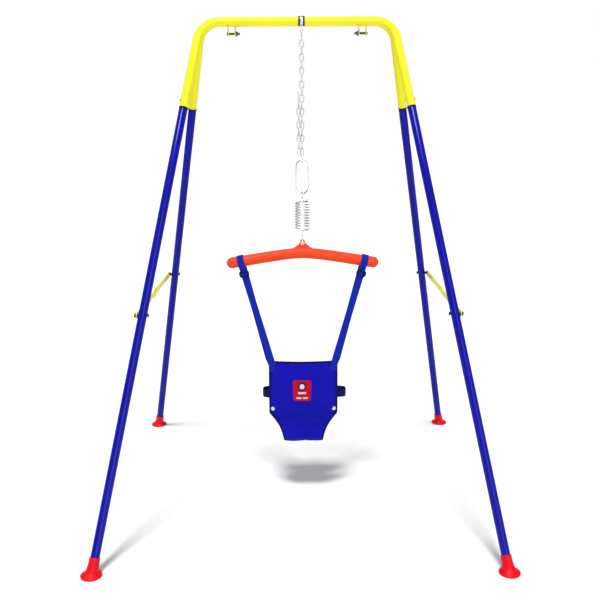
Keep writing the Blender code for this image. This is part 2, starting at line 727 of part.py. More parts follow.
def hook_points(bow_z, arm_z):
    """A wire from the coil's rim in to the middle, then round a flat-bottomed loop in YZ."""
    way = 1 if bow_z > arm_z else -1
    near = arm_z + way * 0.0090
    width = HOOK_HALF_WIDTH
    points = [(SPRING_RADIUS, 0, arm_z), (0.004, 0, arm_z), (0.001, 0, arm_z + way * 0.001)]
    points += [(0, 0, arm_z + way * 0.004), (0, 0.0015, near - way * 0.0012), (0, 0.004, near)]
    points += [(0, width - 0.001, near + way * 0.0015), (0, width, near + way * 0.004)]
    points += [(0, width, bow_z - way * 1.5 * HOOK_CORNER), (0, width - HOOK_CORNER, bow_z)]
    points += [(0, -width + HOOK_CORNER, bow_z), (0, -width, bow_z - way * 1.5 * HOOK_CORNER)]
    points += [(0, -width, near + way * 0.004), (0, -width + 0.001, near + way * 0.0015)]
    points += [(0, -0.0045, near)]
    return points


def make_spring():
    """The coil, and the two end hooks that carry it between the carabiner and the spreader."""
    spot = (HANG_X, HANG_Y, 0)
    steps = SPRING_TURNS * COIL_STEPS
    turns = [2 * math.pi * SPRING_TURNS * step / steps for step in range(steps + 1)]
    coil = [
        (SPRING_RADIUS * math.cos(a), SPRING_RADIUS * math.sin(a), -COIL_LENGTH * step / steps)
        for step, a in enumerate(turns)
    ]
    mesh = mesh_of("spring_coil", wire_data("spring_coil", coil, SPRING_WIRE, resolution=1))
    add_part("spring_coil", mesh, "chrome", location=(HANG_X, HANG_Y, COIL_TOP_Z))
    upper_bow = CARABINER_LOW_Z + CARABINER_WIRE + SPRING_WIRE + HOOK_CLEAR
    for name, bow, arm in (
        ("spring_hook_upper", upper_bow, COIL_TOP_Z + ARM_CLEAR),
        ("spring_hook_lower", EYE_Z, COIL_LOW_Z - ARM_CLEAR),
    ):
        hook = mesh_of(name, wire_data(name, hook_points(bow, arm), SPRING_WIRE))
        add_part(name, hook, "chrome", location=spot)


def spreader_z(x):
    """The height of the bowed bar's axis: round in the middle, nearly straight towards its ends."""
    return SPREADER_MID_Z - SPREADER_SLOPE * (math.hypot(x, SPREADER_BEND) - SPREADER_BEND)


def spreader_radius(x):
    share = min(1.0, abs(x) / SPREADER_HALF)
    return SPREADER_MID_RADIUS + (SPREADER_END_RADIUS - SPREADER_MID_RADIUS) * share


def make_spreader():
    straight = SPREADER_HALF - SPREADER_END_RADIUS
    stations = [-straight + 2 * straight * step / SPREADER_STEPS for step in range(SPREADER_STEPS + 1)]
    cap = [math.radians(angle) for angle in (25, 50, 70, 84)]
    ends = [(straight + SPREADER_END_RADIUS * math.sin(a), math.cos(a)) for a in cap]
    xs = [-x for x, _ in reversed(ends)] + stations + [x for x, _ in ends]
    shares = [s for _, s in reversed(ends)] + [1.0] * len(stations) + [s for _, s in ends]
    points = [(x, 0, spreader_z(x) - EYE_Z) for x in xs]
    radii = [spreader_radius(x) * share for x, share in zip(xs, shares)]
    data = wire_data("spreader_bar", points, 1.0, thickness=radii, resolution=4)
    spot = (HANG_X, HANG_Y, EYE_Z)
    spreader = add_part("spreader_bar", mesh_of("spreader_bar", data), "orange_plastic", location=spot)
    high = PEAK_TOP_Z - EYE_Z
    base = SPREADER_MID_Z + 0.8 * SPREADER_MID_RADIUS - EYE_Z
    flank = [step / 6 for step in range(7)]
    right = [
        (PEAK_HALF_TOP + (PEAK_HALF_BASE - PEAK_HALF_TOP) * t**2.2, high - 0.002 + (base - high + 0.002) * t)
        for t in flank
    ]
    crown = [(PEAK_HALF_TOP * 0.45, high), (0, high + 0.0004), (-PEAK_HALF_TOP * 0.45, high)]
    outline = [(-x, z) for x, z in reversed(right)] + list(reversed(crown)) + right
    peak = mesh_of("spreader_peak", plate_data("spreader_peak", [outline], PEAK_THICKNESS))
    upright = {"location": spot, "rotation": (math.pi / 2, 0, 0)}
    boolean(spreader, add_helper("spreader_peak", peak, **upright), "UNION")
    hole = cylinder_mesh("eye_hole", EYE_OUTER + 1.5 * GAP, 0.03, 16)
    boolean(spreader, add_helper("eye_hole", hole, **upright))
    half = PEAK_THICKNESS / 2 + 0.0005
    profile = tube_profile(EYE_OUTER, EYE_INNER, half, -half)
    turned_part("spreader_eyelet", profile, "zinc_steel", 16, closed=True, **upright)


def seat_profile(share, top_z):
    """How far in front of the hanging line a panel is, and how high, from its top to the crotch."""
    bend = 0.72
    corner_z = SEAT_BOTTOM_Z + 0.030
    if share < bend:
        t = share / bend
        depth = SEAT_HALF_DEPTH + SEAT_BULGE * math.sin(math.pi * min(1.0, 1.15 * t))
        return depth, top_z + (corner_z - top_z) * t
    angle = (share - bend) / (1 - bend) * math.pi / 2
    depth = SEAT_HALF_DEPTH + SEAT_BULGE * math.sin(math.pi * min(1.0, 1.15))
    return GAP + (depth - GAP) * math.cos(angle), corner_z - 0.030 * math.sin(angle)


def seat_half_width(z, top_z):
    """A straight side with a clipped top corner, and a hollow leg cut-out below it."""
    if z > top_z - SEAT_CORNER:
        return SEAT_HALF_WIDTH - 1.6 * (z - top_z + SEAT_CORNER)
    if z > SEAT_CUT_Z:
        return SEAT_HALF_WIDTH
    share = max(0.0, (z - SEAT_BOTTOM_Z) / (SEAT_CUT_Z - SEAT_BOTTOM_Z))
    return SEAT_CROTCH_HALF + (SEAT_HALF_WIDTH - SEAT_CROTCH_HALF) * share**SEAT_CUT_POWER


def panel_point(across, share, top_z, facing, offset=0.0):
    """A point of a panel: across -1 to 1 over its width, share 0 to 1 from top to crotch."""
    depth, z = seat_profile(share, top_z)
    x = across * seat_half_width(z, top_z)
    wrap = SEAT_WRAP * x * x * (1 - share**3)
    return Vector((HANG_X + x, HANG_Y + facing * (depth + offset - wrap), z))


def make_panel(name, top_z, facing):
    rows = []
    for row in range(PANEL_ROWS + 1):
        share = (row / PANEL_ROWS) ** 0.9
        columns = [2 * column / PANEL_COLUMNS - 1 for column in range(PANEL_COLUMNS + 1)]
        rows.append([panel_point(across, share, top_z, facing) for across in columns])
    panel = add_part(name, grid_mesh(name, rows), "seat_fabric")
    solidify(panel, PANEL_THICKNESS)
    if facing > 0:
        panel.data.flip_normals()
    return panel


def panel_surface(x, z, top_z, facing, offset):
    """A point off a panel's middle surface at x from the hanging line and height z."""
    low, high = 0.0, 1.0
    for _ in range(40):
        middle = (low + high) / 2
        if seat_profile(middle, top_z)[1] > z:
            low = middle
        else:
            high = middle
    return panel_point(x / seat_half_width(z, top_z), low, top_z, facing, offset)


def make_waist_bands():
    """A stiff webbing band round each side, tucked inside the front and back panels."""
    inset = -(PANEL_THICKNESS + BAND_THICKNESS) / 2 - 0.0035
    middle_z = (BAND_LOW_Z + BAND_HIGH_Z) / 2
    for side, sign in SIDES:
        end_x = sign * BAND_END_X
        front = panel_surface(end_x, middle_z, SEAT_TOP_Z, -1, inset).y
        back = panel_surface(end_x, middle_z - BAND_DROP, SEAT_BACK_TOP_Z, 1, inset).y
        path = [(BAND_END_X, front), (SEAT_HALF_WIDTH + 0.0015, front + 0.0060)]
        bulge = BAND_BULGE[side]
        path += [(bulge - 0.006, front + 0.015), (bulge - 0.001, front + 0.027)]
        path += [(bulge, (front + back) / 2)]
        path += [(bulge - 0.001, back - 0.027), (bulge - 0.006, back - 0.015)]
        path += [(SEAT_HALF_WIDTH + 0.0015, back - 0.0060), (BAND_END_X, back)]
        slope = BAND_DROP / (back - front)
        rows = [
            [Vector((HANG_X + sign * x, y, z - slope * (y - front))) for x, y in path]
            for z in (BAND_LOW_Z, BAND_HIGH_Z)
        ]
        band = add_part(f"waist_band_{side}", grid_mesh(f"waist_band_{side}", rows), "navy_webbing")
        solidify(band, BAND_THICKNESS)
        if sign < 0:
            band.data.flip_normals()


def make_snaps_and_patch():
    for side, sign in SIDES:
        spot = panel_surface(sign * SNAP_X, SNAP_Z, SEAT_TOP_Z, -1, PANEL_THICKNESS / 2 + 0.0012)
        profile = [(0, SNAP_HEIGHT), (0.45 * SNAP_RADIUS, SNAP_HEIGHT)]
        profile += [(0.8 * SNAP_RADIUS, 0.7 * SNAP_HEIGHT), (SNAP_RADIUS, 0.25 * SNAP_HEIGHT)]
        profile += [(SNAP_RADIUS, 0), (0, 0)]
        where = {"location": spot, "rotation": (math.pi / 2, 0, 0)}
        turned_part(f"snap_{side}", profile, "snap_plastic", 14, **where)
    offset = PANEL_THICKNESS / 2 + GAP + PATCH_THICKNESS / 2
    rows = []
    for row in range(5):
        z = PATCH_Z + PATCH_HEIGHT * (0.5 - row / 4)
        half = PATCH_WIDTH / 2 * (1 - 0.09 * row / 4)
        xs = [PATCH_X + half * (column / 2 - 1) for column in range(5)]
        rows.append([panel_surface(x, z, SEAT_TOP_Z, -1, offset) for x in xs])
    patch = add_part("seat_patch", grid_mesh("seat_patch", rows), "patch_fabric")
    solidify(patch, PATCH_THICKNESS)


def strap_path(sign):
    """The strap's middle line: up from the front panel, over the bar and down to the back panel."""
    centre = Vector((HANG_X + sign * STRAP_BAR_X, HANG_Y, spreader_z(STRAP_BAR_X)))
    up = Vector((sign * math.sin(STRAP_LEAN), 0, math.cos(STRAP_LEAN)))
    radius = spreader_radius(STRAP_BAR_X) + STRAP_BAR_CLEAR + STRAP_THICKNESS / 2
    loop = []
    for step in range(STRAP_ARC_STEPS + 1):
        angle = math.pi * step / STRAP_ARC_STEPS
        loop.append(centre + radius * (math.sin(angle) * up - math.cos(angle) * Vector((0, 1, 0))))
    stand_off = (PANEL_THICKNESS + STRAP_THICKNESS) / 2 + 0.0018
    front = panel_surface(sign * STRAP_SEAT_X, SEAT_TOP_Z - 0.010, SEAT_TOP_Z, -1, stand_off)
    back_x = sign * (STRAP_SEAT_X + STRAP_BACK_OUT)
    back = panel_surface(back_x, SEAT_BACK_TOP_Z - 0.010, SEAT_BACK_TOP_Z, 1, stand_off + 0.0003)
    return front, loop, back


def make_straps():
    for side, sign in SIDES:
        front, loop, back = strap_path(sign)
        along_width = Vector((math.cos(STRAP_LEAN), 0, -sign * math.sin(STRAP_LEAN))) * STRAP_WIDTH / 2
        path = [front, *loop, back]
        rows = [[point - along_width for point in path], [point + along_width for point in path]]
        strap = add_part(f"shoulder_strap_{side}", grid_mesh(f"shoulder_strap_{side}", rows), "strap_webbing")
        solidify(strap, STRAP_THICKNESS)
        make_glide(side, sign, front, loop[0])


def make_glide(side, sign, low, high):
    """A moulded adjuster with a slot that the strap's front run passes through."""
    down = (low - high).normalized()
    width = Vector((math.cos(STRAP_LEAN), 0, -sign * math.sin(STRAP_LEAN)))
    normal = width.cross(down).normalized()
    width = down.cross(normal).normalized()
    turned = Matrix((width, -down, normal)).transposed()
    spot = high + down * GLIDE_DOWN
    bm = bmesh.new()
    bmesh.ops.create_cube(bm, size=1.0)
    bmesh.ops.scale(bm, vec=(GLIDE_WIDTH, GLIDE_HEIGHT, GLIDE_DEPTH), verts=bm.verts)
    mesh = bpy.data.meshes.new(f"strap_glide_{side}")
    bm.to_mesh(mesh)
    bm.free()
    glide = add_part(f"strap_glide_{side}", mesh, "navy_plastic")
    glide.matrix_world = Matrix.Translation(spot) @ turned.to_4x4()
    bevel = glide.modifiers.new("rounded", "BEVEL")
    bevel.width = 0.0022
    bevel.segments = 2
    slot = bmesh.new()
    bmesh.ops.create_cube(slot, size=1.0)
    bmesh.ops.scale(slot, vec=(GLIDE_SLOT_WIDTH, 2 * GLIDE_HEIGHT, GLIDE_SLOT_DEPTH), verts=slot.verts)
    slot_mesh = bpy.data.meshes.new(f"strap_slot_{side}")
    slot.to_mesh(slot_mesh)
    slot.free()
    cutter = add_helper(f"strap_slot_{side}", slot_mesh)
    cutter.matrix_world = glide.matrix_world
    boolean(glide, cutter)


def make_seat():
    make_panel("seat_front_panel", SEAT_TOP_Z, -1)
    make_panel("seat_back_panel", SEAT_BACK_TOP_Z, 1)
    make_waist_bands()
    make_snaps_and_patch()
    make_straps()


make_frames()
make_hanger()
make_top_link()
make_chain()
make_carabiner()
make_spring()
make_spreader()
make_seat()
bpy.context.view_layer.update()
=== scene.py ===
"""Visual model of the folding baby jumper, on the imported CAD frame. Metres, +Z up, front towards -Y."""

import math

import bpy
from mathutils import Matrix, Vector, noise
from mathutils.bvhtree import BVHTree


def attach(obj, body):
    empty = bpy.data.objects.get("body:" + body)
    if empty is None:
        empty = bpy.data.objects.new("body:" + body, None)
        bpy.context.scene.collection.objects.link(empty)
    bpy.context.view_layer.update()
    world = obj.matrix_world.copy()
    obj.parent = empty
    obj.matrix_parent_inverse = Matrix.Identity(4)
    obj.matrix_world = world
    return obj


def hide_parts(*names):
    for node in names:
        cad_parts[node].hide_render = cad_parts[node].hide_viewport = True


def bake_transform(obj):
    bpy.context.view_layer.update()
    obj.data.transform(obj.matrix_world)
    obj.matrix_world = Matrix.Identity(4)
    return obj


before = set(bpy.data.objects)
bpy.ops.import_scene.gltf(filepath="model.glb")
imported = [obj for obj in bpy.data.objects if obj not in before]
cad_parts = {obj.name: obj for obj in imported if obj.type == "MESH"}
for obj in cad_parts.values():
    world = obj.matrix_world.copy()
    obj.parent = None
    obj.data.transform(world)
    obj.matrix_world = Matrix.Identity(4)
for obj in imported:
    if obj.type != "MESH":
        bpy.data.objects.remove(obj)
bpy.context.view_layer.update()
SCENE = bpy.context.scene
SIDES = (("left", -1), ("right", 1))
ENDS = (("front", -1), ("rear", 1))

# The CAD model's dimensions, in metres
FOOT_SPACING = 1.000
BASE_DEPTH = 1.000
BAR_HEIGHT = 1.315
BAR_SPACING = 0.025
BAR_CORNER_X = 0.2535
TUBE_RADIUS = 0.0111
BEND_RADIUS = 0.060
JOIN_AT = 0.2386
RING_HEIGHT = 0.004
RING_RADIUS = 0.0119
SCREW_ABOVE_JOIN = 0.018
FOOT_RADIUS = 0.026
FOOT_SLEEVE_TOP = 0.044
FOOT_SLEEVE_RADIUS = 0.0130
FOOT_LIFT = 0.0002
TUBE_SIDES = 28
TUBE_LIP = 0.0008
TUBE_LIP_SCALE = 0.95
LEAN = math.atan2(BASE_DEPTH / 2 - BAR_SPACING / 2, BAR_HEIGHT)
PLANE_LENGTH = BAR_HEIGHT / math.cos(LEAN)
SPLAY = math.atan2(FOOT_SPACING / 2 - BAR_CORNER_X, PLANE_LENGTH)
LEG_LENGTH = PLANE_LENGTH / math.cos(SPLAY)

HANG_X = 0.0115
HANG_Y = -BAR_SPACING / 2
HANG = Vector((HANG_X, HANG_Y, 0))
TOP_LINK_Z = 1.2915
TOP_LINK_HEIGHT = 0.0270
TOP_LINK_WIDTH = 0.0120
TOP_LINK_WIRE = 0.0016
CHAIN_Z = 1.2679
LINK_PITCH = 0.0176
LINK_HEIGHT = 0.0200
LINK_WIDTH = 0.0098
LINK_WIRE = 0.0015
LINK_COUNT = 18
TAIL_FIRST = 9
TAIL_OFFSET = Vector((-0.0078, -0.0036, 0))
TAIL_HOOK_WIRE = 0.0011

CARABINER_WIRE = 0.0030
CARABINER_TOP_RADIUS = 0.0150
CARABINER_LOW_RADIUS = 0.0175
CARABINER_HEIGHT = 0.090
CARABINER_TOP_Z = 0.9535
GATE_CUT = 12
GATE_WIRE = 0.0021
SPRING_RADIUS = 0.0188
SPRING_WIRE = 0.0021
SPRING_TURNS = 10
HOOK_GAP = 0.0003
COIL_TOP_Z = 0.8410
COIL_LOW_Z = 0.7665
EYE_Z = 0.7275
HOOK_HALF_WIDTH = 0.0085

SPREADER_HALF = 0.212
SPREADER_MID_Z = 0.6990
SPREADER_SLOPE = 0.170
SPREADER_BEND = 0.045
SPREADER_MID_RADIUS = 0.0147
SPREADER_END_RADIUS = 0.0155
PEAK_TOP_Z = 0.7383
PEAK_HALF_THICKNESS = 0.0054
EYELET_HALF = 0.0060
# The spreader's moulding line leaves its peak free on the upper side
PARTING_END = 0.198
PARTING_START = 0.034
PARTING_STEPS = 40

STRAP_WIDTH = 0.019
STRAP_THICKNESS = 0.0015
STRAP_LEAN = math.radians(12)
STRAP_BAR_X = 0.1718
STRAP_CLEAR = 0.0017
STRAP_SEAT_X = 0.0862
STRAP_BACK_OUT = 0.0055
DOUBLED_IN = 0.0016
GLIDE_DOWN = 0.0335

SEAT_HALF_WIDTH = 0.0968
SEAT_CROTCH_HALF = 0.0560
SEAT_TOP_Z = 0.3970
SEAT_BACK_TOP_Z = 0.362
SEAT_CUT_Z = 0.2445
SEAT_BOTTOM_Z = 0.1515
SEAT_HALF_DEPTH = 0.045
SEAT_BULGE = 0.010
SEAT_CORNER = 0.009
SEAM_Z = 0.238
# The dart and the folds below the crotch seam stand this far right of the seat's middle
DART_X = 0.0056
CROTCH_DROP = 0.030
PANEL_THICKNESS = 0.003
BAND_LOW_Z = 0.2895
BAND_HIGH_Z = 0.3115
BAND_DROP = 0.012
BAND_THICKNESS = 0.0022
BAND_BULGE = {"left": 0.1150, "right": 0.1215}
BAND_END_X = 0.080
SNAP_X = 0.0865
SNAP_Z = 0.2595
PATCH_X = -0.0035
PATCH_Z = 0.3165
PATCH_WIDTH = 0.0530
PATCH_HEIGHT = 0.0600
PATCH_TAPER = 0.07
# Heights over the cloth: the patch's own two faces, then its print, and the print's thickness
PATCH_LIFT = 0.0002
PATCH_THICKNESS = 0.0008
PRINT_LIFT = 0.0010
PRINT_THICKNESS = 0.0002


# Materials

# A wave texture's bands lie this far apart at a scale of one
WAVE_UNIT = 0.31416


class Shader:
    """A Principled material and the few node-graph steps its textures need."""

    def __init__(self, name, colour, roughness, metallic=0.0):
        self.material = bpy.data.materials.new(name)
        self.material.use_nodes = True
        self.tree = self.material.node_tree
        self.bsdf = self.tree.nodes["Principled BSDF"]
        self.colour = (*colour, 1.0)
        self.bsdf.inputs["Base Color"].default_value = self.colour
        self.bsdf.inputs["Roughness"].default_value = roughness
        self.bsdf.inputs["Metallic"].default_value = metallic
        self.material.diffuse_color = self.colour
        self.bump_node = None

    def node(self, kind, **settings):
        made = self.tree.nodes.new(kind)
        for key, value in settings.items():
            setattr(made, key, value)
        return made

    def link(self, source, target):
        self.tree.links.new(source, target)

    def where(self, scale=(1, 1, 1)):
        coordinates = self.node("ShaderNodeTexCoord")
        mapping = self.node("ShaderNodeMapping")
        mapping.inputs["Scale"].default_value = scale
        self.link(coordinates.outputs["Object"], mapping.inputs["Vector"])
        return mapping.outputs["Vector"]

    def noise(self, scale, detail=3.0, stretch=(1, 1, 1)):
        made = self.node("ShaderNodeTexNoise")
        made.inputs["Scale"].default_value = scale
        made.inputs["Detail"].default_value = detail
        self.link(self.where(stretch), made.inputs["Vector"])
        return made.outputs["Fac"]

    def bands(self, period, direction):
        """Yarns a period apart across the cloth's own flat coordinates."""
        flat = self.node("ShaderNodeUVMap", uv_map="metres")
        made = self.node("ShaderNodeTexWave", wave_type="BANDS", bands_direction=direction)
        made.inputs["Scale"].default_value = WAVE_UNIT / period
        made.inputs["Distortion"].default_value = 0.6
        made.inputs["Detail"].default_value = 1.0
        self.link(flat.outputs["UV"], made.inputs["Vector"])
        return made.outputs["Fac"]

    def spread(self, source, low, high, source_low=0.3, source_high=0.7):
        made = self.node("ShaderNodeMapRange")
        for key, value in (
            ("From Min", source_low),
            ("From Max", source_high),
            ("To Min", low),
            ("To Max", high),
        ):
            made.inputs[key].default_value = value
        self.link(source, made.inputs["Value"])
        return made.outputs["Result"]

    def multiply(self, first, second):
        made = self.node("ShaderNodeMath", operation="MULTIPLY")
        self.link(first, made.inputs[0])
        self.link(second, made.inputs[1])
        return made.outputs[0]

    def mix(self, factor, low, high):
        """A colour between two: each is a linear RGB triple or another node's output."""
        made = self.node("ShaderNodeMix", data_type="RGBA")
        self.link(factor, made.inputs["Factor"])
        for socket, value in (("A", low), ("B", high)):
            target = next(i for i in made.inputs if i.name == socket and i.type == "RGBA")
            if isinstance(value, tuple):
                target.default_value = (*value, 1.0)
            else:
                self.link(value, target)
        return next(o for o in made.outputs if o.type == "RGBA")

    def gloss(self, level):
        self.bsdf.inputs["Specular IOR Level"].default_value = level

    def sheen(self, roughness):
        """The faint fuzz of woven thread."""
        self.bsdf.inputs["Sheen Weight"].default_value = 0.03
        self.bsdf.inputs["Sheen Roughness"].default_value = roughness

    def paint(self, colour):
        self.link(colour, self.bsdf.inputs["Base Color"])

    def mottle(self, scale, low, high, detail=3.0):
        """Uneven colour between two."""
        self.paint(self.mix(self.spread(self.noise(scale, detail), 0.0, 1.0), low, high))

    def rough(self, source, low, high):
        self.link(self.spread(source, low, high), self.bsdf.inputs["Roughness"])

    def bump(self, height, distance, strength=1.0):
        made = self.node("ShaderNodeBump")
        made.inputs["Strength"].default_value = strength
        made.inputs["Distance"].default_value = distance
        self.link(height, made.inputs["Height"])
        if self.bump_node:
            self.link(self.bump_node.outputs["Normal"], made.inputs["Normal"])
        self.bump_node = made
        self.link(made.outputs["Normal"], self.bsdf.inputs["Normal"])


def shade(colour, factor):
    return tuple(min(1.0, channel * factor) for channel in colour)


def enamel(name, colour, deep, gloss=0.10):
    """Stoved gloss paint on steel tube: orange peel and faint streaks."""
    made = Shader(name, colour, 0.30)
    made.gloss(gloss)
    made.mottle(9.0, colour, deep)
    made.rough(made.noise(60.0, 4.0, (1, 1, 0.15)), 0.20, 0.34)
    made.bump(made.noise(420.0, 2.0), 0.00006)
    made.bump(made.noise(45.0, 2.0), 0.00015, 0.5)
    return made.material


def moulded(name, colour, deep, roughness=0.34, grain=1400.0):
    """Injection-moulded plastic: a fine grain, flow marks and light scuffing."""
    made = Shader(name, colour, roughness)
    made.gloss(0.12)
    made.mottle(14.0, colour, deep, 4.0)
    made.rough(made.noise(110.0, 5.0, (0.3, 1, 1)), roughness - 0.06, roughness + 0.14)
    made.bump(made.noise(grain, 2.0), 0.00005)
    made.bump(made.noise(90.0, 3.0), 0.00012, 0.4)
    return made.material


def metal(name, colour, roughness, dull=0.12):
    """Plated steel: drawing lines along the wire, and a little tarnish."""
    made = Shader(name, colour, roughness, 1.0)
    made.mottle(160.0, colour, shade(colour, 0.78), 4.0)
    made.rough(made.noise(500.0, 4.0), roughness, roughness + dull)
    made.bump(made.noise(900.0, 2.0), 0.00004, 0.6)
    return made.material


def webbing(name, colour, deep, rib=0.0013):
    """Flat woven nylon: ribs across, warp yarns along and a faint sheen."""
    made = Shader(name, colour, 0.78)
    made.gloss(0.08)
    made.sheen(0.4)
    ribs = made.bands(rib, "Y")
    yarns = made.bands(rib * 0.9, "X")
    weave = made.multiply(ribs, yarns)
    cloth = made.mix(made.spread(weave, 0.0, 1.0, 0.05, 0.6), deep, colour)
    tired = made.spread(made.noise(35.0, 4.0), 0.0, 0.35)
    made.paint(made.mix(tired, cloth, shade(colour, 0.7)))
    made.bump(weave, 0.00035, 0.8)
    made.bump(made.noise(2500.0, 2.0), 0.00008, 0.5)
    return made.material


def canvas(name, colour, deep, thread=0.0009):
    """Closely woven polyester cloth over thin padding."""
    made = Shader(name, colour, 0.86)
    made.gloss(0.06)
    made.sheen(0.5)
    warp = made.bands(thread, "X")
    weft = made.bands(thread, "Y")
    weave = made.multiply(warp, weft)
    cloth = made.mix(made.spread(weave, 0.0, 1.0, 0.05, 0.5), deep, colour)
    # Darker blotches at random: partly the cloth's own uneven tone, partly painted shade standing in for
    # uneven light across the seat
    tone_and_shade = made.spread(made.noise(16.0, 5.0), 0.0, 0.60)
    made.paint(made.mix(tone_and_shade, cloth, shade(colour, 0.62)))
    made.rough(made.noise(70.0, 3.0), 0.80, 0.95)
    made.bump(made.noise(55.0, 4.0), 0.0012, 0.35)
    made.bump(weave, 0.00022, 0.7)
    return made.material


def rubber(name, colour):
    """Matt rubber with a dusty bloom."""
    made = Shader(name, colour, 0.65)
    made.mottle(300.0, colour, shade(colour, 2.2), 4.0)
    made.rough(made.noise(500.0, 3.0), 0.55, 0.8)
    made.bump(made.noise(1200.0, 3.0), 0.00012)
    return made.material


YELLOW = enamel("yellow_enamel", (0.80, 0.77, 0.026), (0.77, 0.71, 0.020))
BLUE = enamel("blue_enamel", (0.0022, 0.0040, 0.29), (0.0015, 0.0030, 0.24), 0.16)
RED = moulded("red_plastic", (0.66, 0.003, 0.010), (0.56, 0.002, 0.008))
ORANGE = moulded("orange_plastic", (0.74, 0.060, 0.012), (0.66, 0.042, 0.010), 0.36)
BLACK = moulded("black_plastic", (0.008, 0.008, 0.009), (0.014, 0.014, 0.016), 0.42)
NAVY_PLASTIC = moulded("navy_plastic", (0.004, 0.006, 0.070), (0.003, 0.004, 0.045), 0.38)
SNAP = moulded("snap_plastic", (0.66, 0.66, 0.78), (0.54, 0.54, 0.70), 0.30)
RUBBER = rubber("black_rubber", (0.007, 0.007, 0.006))
ZINC = metal("zinc_plate", (0.72, 0.72, 0.74), 0.24)
CHROME = metal("chrome_plate", (0.86, 0.86, 0.88), 0.10, 0.08)
DARK_STEEL = metal("dark_steel", (0.10, 0.10, 0.105), 0.38)
STRAP = webbing("strap_webbing", (0.006, 0.022, 0.42), (0.004, 0.012, 0.26))
NAVY = webbing("navy_webbing", (0.005, 0.005, 0.125), (0.003, 0.003, 0.070), 0.0015)
BINDING = webbing("navy_binding", (0.004, 0.004, 0.100), (0.003, 0.003, 0.060), 0.0011)
SEAT = canvas("seat_cloth", (0.006, 0.006, 0.42), (0.004, 0.004, 0.30))
PATCH = canvas("patch_cloth", (0.50, 0.005, 0.018), (0.40, 0.004, 0.014), 0.0007)
PRINT = canvas("print_white", (0.70, 0.62, 0.64), (0.60, 0.52, 0.54), 0.0007)
NAVY_PRINT = canvas("print_navy", (0.020, 0.008, 0.060), (0.014, 0.006, 0.040), 0.0007)
THREAD = webbing("thread", (0.004, 0.005, 0.20), (0.003, 0.004, 0.13), 0.0005)
RED_THREAD = webbing("red_thread", (0.30, 0.01, 0.10), (0.22, 0.008, 0.07), 0.0005)


# Geometry


def new_object(name, data):
    item = bpy.data.objects.new(name, data)
    SCENE.collection.objects.link(item)
    return item


def smooth(mesh, sharp_above):
    """Smooth shading, with edges over an angle in degrees left sharp."""
    mesh.shade_smooth()
    mesh.set_sharp_from_angle(angle=math.radians(sharp_above))


def repaint(item, material):
    item.data.materials.clear()
    item.data.materials.append(material)


def add(name, shape, material, body, replaces=()):
    """A mesh object in the row frame that rides on a body. The shape is verts, faces and UVs or None."""
    verts, faces, uvs = shape
    mesh = bpy.data.meshes.new(name)
    mesh.from_pydata([tuple(v) for v in verts], [], faces)
    if uvs:
        layer = mesh.uv_layers.new(name="metres")
        for loop in mesh.loops:
            layer.data[loop.index].uv = uvs[loop.vertex_index]
    mesh.materials.append(material)
    smooth(mesh, 38)
    item = new_object(name, mesh)
    finish_piece(item, body, replaces)
    return item


def stand_in(node, shape, material, body):
    """A finer piece shown in place of one CAD node."""
    return add(f"{node}_visual", shape, material, body, (node,))


def finish_piece(item, body, replaces=()):
    if body:
        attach(item, body)
    if replaces:
        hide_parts(*replaces)


def modifier(item, kind, **settings):
    made = item.modifiers.new(kind.lower(), kind)
    for key, value in settings.items():
        setattr(made, key, value)
    return made


def bake(item):
    """Apply the modifiers by taking the evaluated mesh."""
    bpy.context.view_layer.update()
    evaluated = item.evaluated_get(bpy.context.evaluated_depsgraph_get())
    mesh = bpy.data.meshes.new_from_object(evaluated)
    item.modifiers.clear()
    item.data = mesh


def cut(item, name, shape):
    """Cut a closed shape out of an item."""
    mesh = bpy.data.meshes.new(name)
    mesh.from_pydata([tuple(v) for v in shape[0]], [], shape[1])
    cutter = new_object(name, mesh)
    modifier(item, "BOOLEAN", object=cutter, operation="DIFFERENCE", solver="EXACT")
    bake(item)
    bpy.data.objects.remove(cutter, do_unlink=True)


def oval(half_width, half_height, sides):
    angles = [2 * math.pi * step / sides for step in range(sides)]
    return [(half_width * math.cos(a), half_height * math.sin(a)) for a in angles]


def circle(radius, sides):
    return oval(radius, radius, sides)


def ribbon(width, thickness, corner=3):
    """A flat section with rounded sides, counterclockwise."""
    radius = thickness / 2
    points = []
    for centre, start in ((width / 2 - radius, -90), (radius - width / 2, 90)):
        for step in range(corner + 1):
            angle = math.radians(start + 180 * step / corner)
            points.append((centre + radius * math.cos(angle), radius * math.sin(angle)))
    flat = []
    for first, second in zip(points, points[1:] + points[:1]):
        flat.append(first)
        steps = 6 if abs(first[0] - second[0]) > width / 3 else 1
        for step in range(1, steps):
            share = step / steps
            flat.append(tuple(a + (b - a) * share for a, b in zip(first, second)))
    return flat


def way_at(points, index, closed=False):
    """The direction of a path at one of its points."""
    if closed:
        return (points[(index + 1) % len(points)] - points[index - 1]).normalized()
    return (points[min(index + 1, len(points) - 1)] - points[max(index - 1, 0)]).normalized()


def frames_along(points, closed, normals):
    """The side and upward directions of a section at each point of a path."""
    count = len(points)
    tangents = [way_at(points, index, closed) for index in range(count)]
    if normals is None:
        start = Vector((0, 0, 1)) if abs(tangents[0].z) < 0.9 else Vector((0, 1, 0))
        normals = [(start - start.dot(tangents[0]) * tangents[0]).normalized()]
        for index in range(1, count):
            carried = tangents[index - 1].rotation_difference(tangents[index]) @ normals[-1]
            normals.append((carried - carried.dot(tangents[index]) * tangents[index]).normalized())
        if closed:
            last = tangents[-1].rotation_difference(tangents[0]) @ normals[-1]
            twist = last.angle(normals[0])
            if last.cross(normals[0]).dot(tangents[0]) < 0:
                twist = -twist
            normals = [
                Matrix.Rotation(twist * index / count, 3, tangents[index]) @ normal
                for index, normal in enumerate(normals)
            ]
    frames = []
    for tangent, normal in zip(tangents, normals):
        level = (normal - normal.dot(tangent) * tangent).normalized()
        frames.append((tangent.cross(level).normalized(), level))
    return frames


